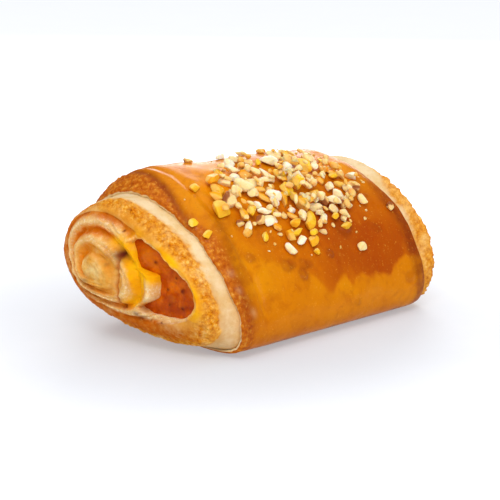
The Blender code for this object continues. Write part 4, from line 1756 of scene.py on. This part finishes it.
@dataclass(frozen=True)
class EggWashedCrust(Finish):
    """Laminated dough brushed with egg wash and baked.

    Egg wash dries to a thin clear film that browns from amber to chestnut where it lay
    twice, so the eye sees a warm low gloss with brush marks, blisters and a dark edge.
    """

    amber: str = "#CD7402"
    painted_light_honey: str = "#EC960A"
    brown: str = "#A84404"
    roast: str = "#7A2C08"
    crumb: str = "#E6CD9C"
    # Colour of the painted shade along the crust's bottom edge.
    base: str = "#A05A14"
    name: str = "egg_washed_crust"
    marks: tuple[str, ...] = (
        "wash", "toast", "strip", "lit", "bare", "bubble", "crumb", "matt", "under",
    )
    noises: Noises = (
        ("slow", 18.0, 3.0, 0.5, 0.0),
        ("mottle", 7.0, 4.0, 0.62, 1.2),
        ("fine", 3.2, 4.0, 0.6, 0.0),
        ("blister", 1.6, 3.0, 0.6, 0.0),
        ("specks", 0.9, 2.0, 0.5, 0.0),
        ("pale_specks", 0.8, 2.0, 0.6, 0.0),
    )
    relief: float = 0.16
    constants: Constants = (
        ("Specular IOR Level", 0.03),
        ("Coat Weight", 0.09),
        ("Coat Roughness", 0.14),
        ("Subsurface Weight", 0.06),
        ("Subsurface Radius", (0.8, 0.35, 0.12)),
        ("Subsurface Scale", 2.0 * MM),
    )

    def layers(self) -> Layers:
        """Baked colour that drifts over 12 to 25 mm, painted light and sheen, then wash, browning,
        pale specks and painted shade.
        """
        washed = ((0.1, "#C26404"), (0.6, "#B85204"), (1.0, self.brown))
        edge = ((0.32, "#A64A05"), (0.52, "#C26610"), (0.68, "#D88C2C"), (0.8, "#EEB45C"))
        return (
            ((), ("slow", ((0.32, "#C26801"), (0.52, self.amber), (0.7, "#D68303")))),
            # Painted light: a painted pool of light and a painted sheen, in a honey colour.
            (("lit", 0.75), self.painted_light_honey),
            (("wash", ("slow", 0.3, 0.7, 0.8, 1.0)), ("wash", washed)),
            ((("mottle", 0.48, 0.72, 0.0, 0.4),), "#B25403"),
            ((("fine", 0.5, 0.75, 0.0, 0.3),), "#B05203"),
            (("strip",), ("blister", edge)),
            (("toast", ("fine", 0.3, 0.6, 0.55, 1.0)), self.roast),
            (("bubble", 0.85), "#8E3C08"),
            (("bare",), "#EFC890"),
            ((("specks", 0.66, 0.78, 0.0, 0.4),), "#A8560E"),
            # Fine pale specks. Real specks are finer than this, and the points are drawn as wide
            # as they show.
            ((("pale_specks", 0.62, 0.74, 0.0, 0.42),), "#EDA93C"),
            (("crumb",), self.crumb),
            # Painted shade along the bottom edge, where the crust meets the table.
            (("under",), self.base),
        )

    def sums(self) -> Sums:
        """Gloss that dulls on the blistered edge and inside, and wrinkles with specks."""
        film = (("fine", 0.3, 0.7, 0.26, 0.4),)
        return {
            "roughness": (("ADD", film), ("ADD", ("matt", 0.28))),
            "height": (("ADD", ("fine", 0.6)), ("ADD", ("specks", 0.3))),
        }


@dataclass(frozen=True)
class RolledDough(Finish):
    """Cut and torn face of laminated dough.

    Bare dough dries matt and pale on its ridges, syrup bakes to orange in its grooves, and
    the rim toasts to a flaky gold, so the eye sees a dry crumb beside wet sugar.
    """

    dough: str = "#E6AA4E"
    cream: str = "#F2CE86"
    syrup: str = "#D06802"
    yolk: str = "#FBB70C"
    golden: str = "#CE7408"
    char: str = "#6A2410"
    name: str = "rolled_laminated_dough"
    marks: tuple[str, ...] = (
        "syrup", "yolk", "cream", "leaf", "seam", "baked", "toast", "char", "neck", "tan", "wall",
    )
    noises: Noises = (
        ("slow", 6.0, 3.0, 0.55, 0.0),
        ("fine", 1.7, 4.0, 0.6, 0.0),
        ("spotty", 1.5, 4.0, 0.7, 0.0),
        ("flakes", 0.9, 3.0, 0.65, 0.0),
        ("pore", 0.6, 2.0, 0.5, 0.0),
    )
    relief: float = 0.3
    constants: Constants = (
        ("Specular IOR Level", 0.04),
        ("Subsurface Weight", 0.12),
        ("Subsurface Radius", (1.0, 0.55, 0.25)),
        ("Subsurface Scale", 2.0 * MM),
    )

    def layers(self) -> Layers:
        """Dough, syrup, dry flakes and leaves, then the toasted rim, the pale neck and its tan,
        partly painted shade.
        """
        bare = ((0.3, "#D88C34"), (0.5, self.dough), (0.7, self.cream))
        wet = ((0.12, "#E69C20"), (0.4, "#E48A04"), (0.7, "#E07E02"), (1.0, self.syrup))
        rim = ((0.32, "#A24C04"), (0.44, self.golden), (0.56, "#E2941A"), (0.7, "#F6C868"))
        return (
            ((), ("slow", bare)),
            (("syrup", ("fine", 0.25, 0.6, 0.75, 1.25)), ("syrup", wet)),
            (("cream", ("fine", 0.3, 0.6, 0.4, 0.9)), "#F4D69A"),
            (("leaf", 0.62), "#D08010"),
            (("cream", ("flakes", 0.5, 0.64, 0.0, 0.8)), "#FCE8C2"),
            (("toast", ("fine", 0.3, 0.65, 0.5, 1.15)), ("spotty", rim)),
            (("baked", ("fine", 0.25, 0.6, 0.6, 1.0)), "#C66004"),
            (("yolk",), ("slow", ((0.35, "#EE9C04"), (0.6, self.yolk)))),
            (("seam", 0.8), "#B85A06"),
            (("wall",), "#D87E08"),
            (("char",), self.char),
            (("neck",), ("slow", ((0.35, "#E4C48A"), (0.6, "#F0DAB0")))),
            # The neck's tan: baked colour at its edges and painted shade low down.
            (("tan", ("fine", 0.3, 0.7, 0.6, 0.95)), "#D0944E"),
            # Pores of the crumb are finer than this, and are drawn as wide as they show.
            ((("pore", 0.62, 0.75, 0.0, 0.3),), "#B5742E"),
        )

    def sums(self) -> Sums:
        """Matt dough that is smoother under syrup, and crumb with pores."""
        wet = ("syrup", ("fine", 0.25, 0.6, 0.75, 1.25), 0.25)
        return {
            "roughness": (("ADD", (("fine", 0.3, 0.7, 0.5, 0.68),)), ("SUBTRACT", wet)),
            "height": (("ADD", ("fine", 0.6)), ("ADD", ("pore", 0.4))),
        }


@dataclass(frozen=True)
class ApricotJam(Finish):
    """Apricot jam with fruit pieces, baked in the roll.

    Sugar sets it to a smooth clear gloss over dark fruit, so the eye sees deep orange that
    lights up where it is thin, with skins and seeds in it.
    """

    deep: str = "#A23800"
    orange: str = "#DE6C04"
    bright: str = "#E4800A"
    seed: str = "#5E1A0C"
    name: str = "apricot_jam_baked"
    marks: tuple[str, ...] = ("glow", "seed", "lump")
    noises: Noises = (
        ("slow", 5.0, 3.0, 0.55, 0.0),
        ("fine", 1.3, 3.0, 0.6, 0.0),
    )
    relief: float = 0.2
    constants: Constants = (
        ("Specular IOR Level", 0.04),
        ("Coat Weight", 0.08),
        ("Coat Roughness", 0.08),
        ("Subsurface Weight", 0.2),
        ("Subsurface Radius", (1.0, 0.25, 0.05)),
        ("Subsurface Scale", 1.5 * MM),
    )

    def layers(self) -> Layers:
        """Fruit in 5 mm clouds, lighter lumps, skins, a lighter place near the top and seeds."""
        return (
            ((), ("slow", ((0.3, self.deep), (0.5, "#BC4C00"), (0.7, self.orange)))),
            ((("lump", 0.3, 0.95, 0.0, 0.45),), "#D46E06"),
            ((("fine", 0.58, 0.75, 0.0, 0.5),), "#8E2C08"),
            (("glow",), self.bright),
            (("seed", 0.85), self.seed),
        )

    def sums(self) -> Sums:
        """Wet gloss over fine lumps."""
        gloss = (("slow", 0.3, 0.7, 0.18, 0.32),)
        return {"roughness": (("ADD", gloss),), "height": (("ADD", ("fine",)),)}


@dataclass(frozen=True)
class ChoppedNut(Finish):
    """Flesh of a chopped nut, with its tints, toasted edges and whatever covers a flank.

    Cut nut flesh is waxy and lets light through, and it toasts first at its edges, so the
    eye sees pale chips rimmed with gold, some under skin or glaze.
    """

    pale: str = "#FFF6DC"
    warm: str = "#FDDE9E"
    edge: str = "#ECA038"
    cover: str = "#F8D48C"
    cover_share: float = 0.5
    gloss: float = 0.42
    marks: tuple[str, ...] = ("tint", "corner", "flank")
    noises: Noises = (
        ("slow", 2.6, 3.0, 0.55, 0.0),
        ("fine", 0.7, 3.0, 0.6, 0.0),
    )
    relief: float = 0.14
    constants: Constants = (
        ("Specular IOR Level", 0.06),
        ("Subsurface Weight", 0.5),
        ("Subsurface Radius", (1.0, 0.7, 0.3)),
        ("Subsurface Scale", 2.4 * MM),
    )

    def layers(self) -> Layers:
        """A tint for each nut, toasted patches and edges, then the covered flank."""
        return (
            ((), ("tint", ((0.1, self.pale), (0.95, self.warm)))),
            ((("slow", 0.52, 0.75, 0.0, 0.4),), self.edge),
            (("corner", ("slow", 0.35, 0.65, 0.1, 0.5)), self.edge),
            (("flank", self.cover_share, ("slow", 0.3, 0.45, 0.5, 1.0)), self.cover),
        )

    def sums(self) -> Sums:
        """Waxy gloss over fine grain."""
        gloss = (("fine", 0.3, 0.7, self.gloss, self.gloss + 0.14),)
        return {"roughness": (("ADD", gloss),), "height": (("ADD", ("fine",)),)}


NUT_FINISHES = {
    NutKind.BLANCHED: ChoppedNut("blanched_nut_flesh"),
    NutKind.GLAZED: ChoppedNut(
        "glazed_nut_flesh", pale="#FCC42E", warm="#EE981A", edge="#CC6C10", cover="#FADC88",
        cover_share=0.4, gloss=0.3,
    ),
    NutKind.SKINNED: ChoppedNut(
        "skinned_nut_flesh", pale="#F4D090", warm="#E8B868", edge="#D4903A", cover="#8A3C12",
        cover_share=0.9, gloss=0.45,
    ),
    NutKind.CRUMB: ChoppedNut(
        "nut_crumb_flesh", pale="#FBE2AA", warm="#EEA838", edge="#D88420", cover="#F6D084",
        gloss=0.45,
    ),
}


@dataclass(frozen=True)
class BacklitTablePaintedShadow(Finish):
    """Milky acrylic sheet lit from below, so that nothing but a faint shadow shows on it; that
    shadow is painted, as its glow dims towards the roll.
    """

    name: str = "backlit_acrylic_table"
    noises: Noises = (
        ("clouds", 60.0, 3.0, 0.55, 0.0),
        ("wear", 40.0, 3.0, 0.55, 0.0),
        ("fine", 2.0, 3.0, 0.55, 0.0),
    )
    relief: float = 0.01

    def layers(self) -> Layers:
        """One pale grey."""
        return (((), ("clouds", ((0.3, "#A8ABB1"), (0.7, "#ABAEB3")))),)

    def sums(self) -> Sums:
        """A matt face."""
        matt = (("wear", 0.3, 0.7, 0.7, 0.75),)
        return {"roughness": (("ADD", matt),), "height": (("ADD", ("fine",)),)}

    def glow(self, tree: Tree, places: Socket) -> dict[str, object]:
        """Light from below, which grows outwards from under the roll, so the dimmer glow near the
        roll is a painted shadow.

        Args:
            tree: The material's nodes.
            places: Its Object coordinates.

        Returns:
            The shader's emission.
        """
        away = add(tree, "ShaderNodeVectorMath", {0: places}, "Value", operation="LENGTH")
        # Painted shadow: the glow is weakest at the table's middle, under the roll, and grows out
        # to about 180 mm.
        values = {"Value": away, 1: 0.05, 2: 0.18, 3: 0.37, 4: 0.76}
        power = add(tree, "ShaderNodeMapRange", values, interpolation_type="SMOOTHSTEP")
        return {"Emission Color": "#F8FAFF", "Emission Strength": power}


@dataclass
class Studio:
    """White table, soft lights and the camera. A lamp is its place, width and watts."""

    target: tuple[float, float, float] = (1.784, 1.162, 25.0)
    azimuth: float = 44.0
    height: float = 13.3
    distance: float = 661.8
    lens: float = 129.6
    sensor: float = 36.0
    table_radius: float = 1600.0
    room_light: float = 0.3
    lamps: tuple[tuple[str, tuple[float, float, float], float, float], ...] = (
        ("softbox_overhead", (0.0, 0.0, 1900.0), 2400.0, 18.5),
        ("key_front_left", (-460.0, -420.0, 640.0), 420.0, 3.6),
        ("sheen_behind", (600.0, 480.0, 330.0), 460.0, 3.2),
        ("fill_front", (60.0, -760.0, 240.0), 420.0, 1.2),
    )

    def build(self) -> None:
        """Set up the world, the table, the lights and the camera."""
        scene = bpy.context.scene
        scene.view_settings.view_transform = "Standard"
        world = bpy.data.worlds.new("white_room")
        world.use_nodes = True
        backdrop = next(n for n in world.node_tree.nodes if n.type == "BACKGROUND")
        backdrop.inputs["Color"].default_value = srgb("#FFFFFF")
        backdrop.inputs["Strength"].default_value = self.room_light
        scene.world = world
        self.table()
        for name, place, size, power in self.lamps:
            self.light(name, place, size, power)
        self.camera()

    def table(self) -> None:
        """Lay the white table under the roll."""
        mesh = bpy.data.meshes.new("table")
        body = bmesh.new()
        bmesh.ops.create_circle(body, cap_ends=True, radius=self.table_radius * MM, segments=96)
        body.to_mesh(mesh)
        body.free()
        mesh.materials.append(BacklitTablePaintedShadow().make())
        in_scene("table", mesh)

    def light(
        self, name: str, place: tuple[float, float, float], size: float, power: float
    ) -> None:
        """Add a square soft light that faces the roll.

        Args:
            name: Its name.
            place: Where it stands, in millimetres.
            size: Its width in millimetres.
            power: Its power in watts.
        """
        data = bpy.data.lights.new(name, "AREA")
        data.shape, data.size, data.energy = "SQUARE", size * MM, power
        lamp = in_scene(name, data)
        lamp.location = Vector(place) * MM
        aim = Vector(self.target) * MM - lamp.location
        lamp.rotation_euler = aim.to_track_quat("-Z", "Y").to_euler()
        lamp.visible_camera = False

    def camera(self) -> None:
        """Set the camera at the photograph's viewing angle."""
        theta, phi = math.radians(self.azimuth), math.radians(self.height)
        level = math.cos(phi)
        forward = Vector((math.sin(theta) * level, math.cos(theta) * level, -math.sin(phi)))
        data = bpy.data.cameras.new("camera")
        data.lens, data.sensor_width = self.lens, self.sensor
        data.clip_start, data.clip_end = 0.01, 10.0
        view = in_scene("camera", data)
        view.location = (Vector(self.target) - self.distance * forward) * MM
        view.rotation_euler = forward.to_track_quat("-Z", "Y").to_euler()
        bpy.context.scene.camera = view


def main() -> None:
    """Build the pastry piece by piece, then the studio."""
    logging.basicConfig(level=logging.INFO, format="%(name)s: %(message)s")
    shape = RollShape()
    dough = RolledDough().make()
    OuterWrap(shape, EggWashedCrust().make()).build()
    RolledEnd(shape, dough, End.LEFT, 480, 150).build()
    RolledEnd(shape, dough, End.RIGHT, 400, 120).build()
    ApricotFilling(shape, ApricotJam().make()).build()
    NutTopping(shape).build()
    Studio().build()
    bpy.context.view_layer.update()


if __name__ == "__main__":
    main()
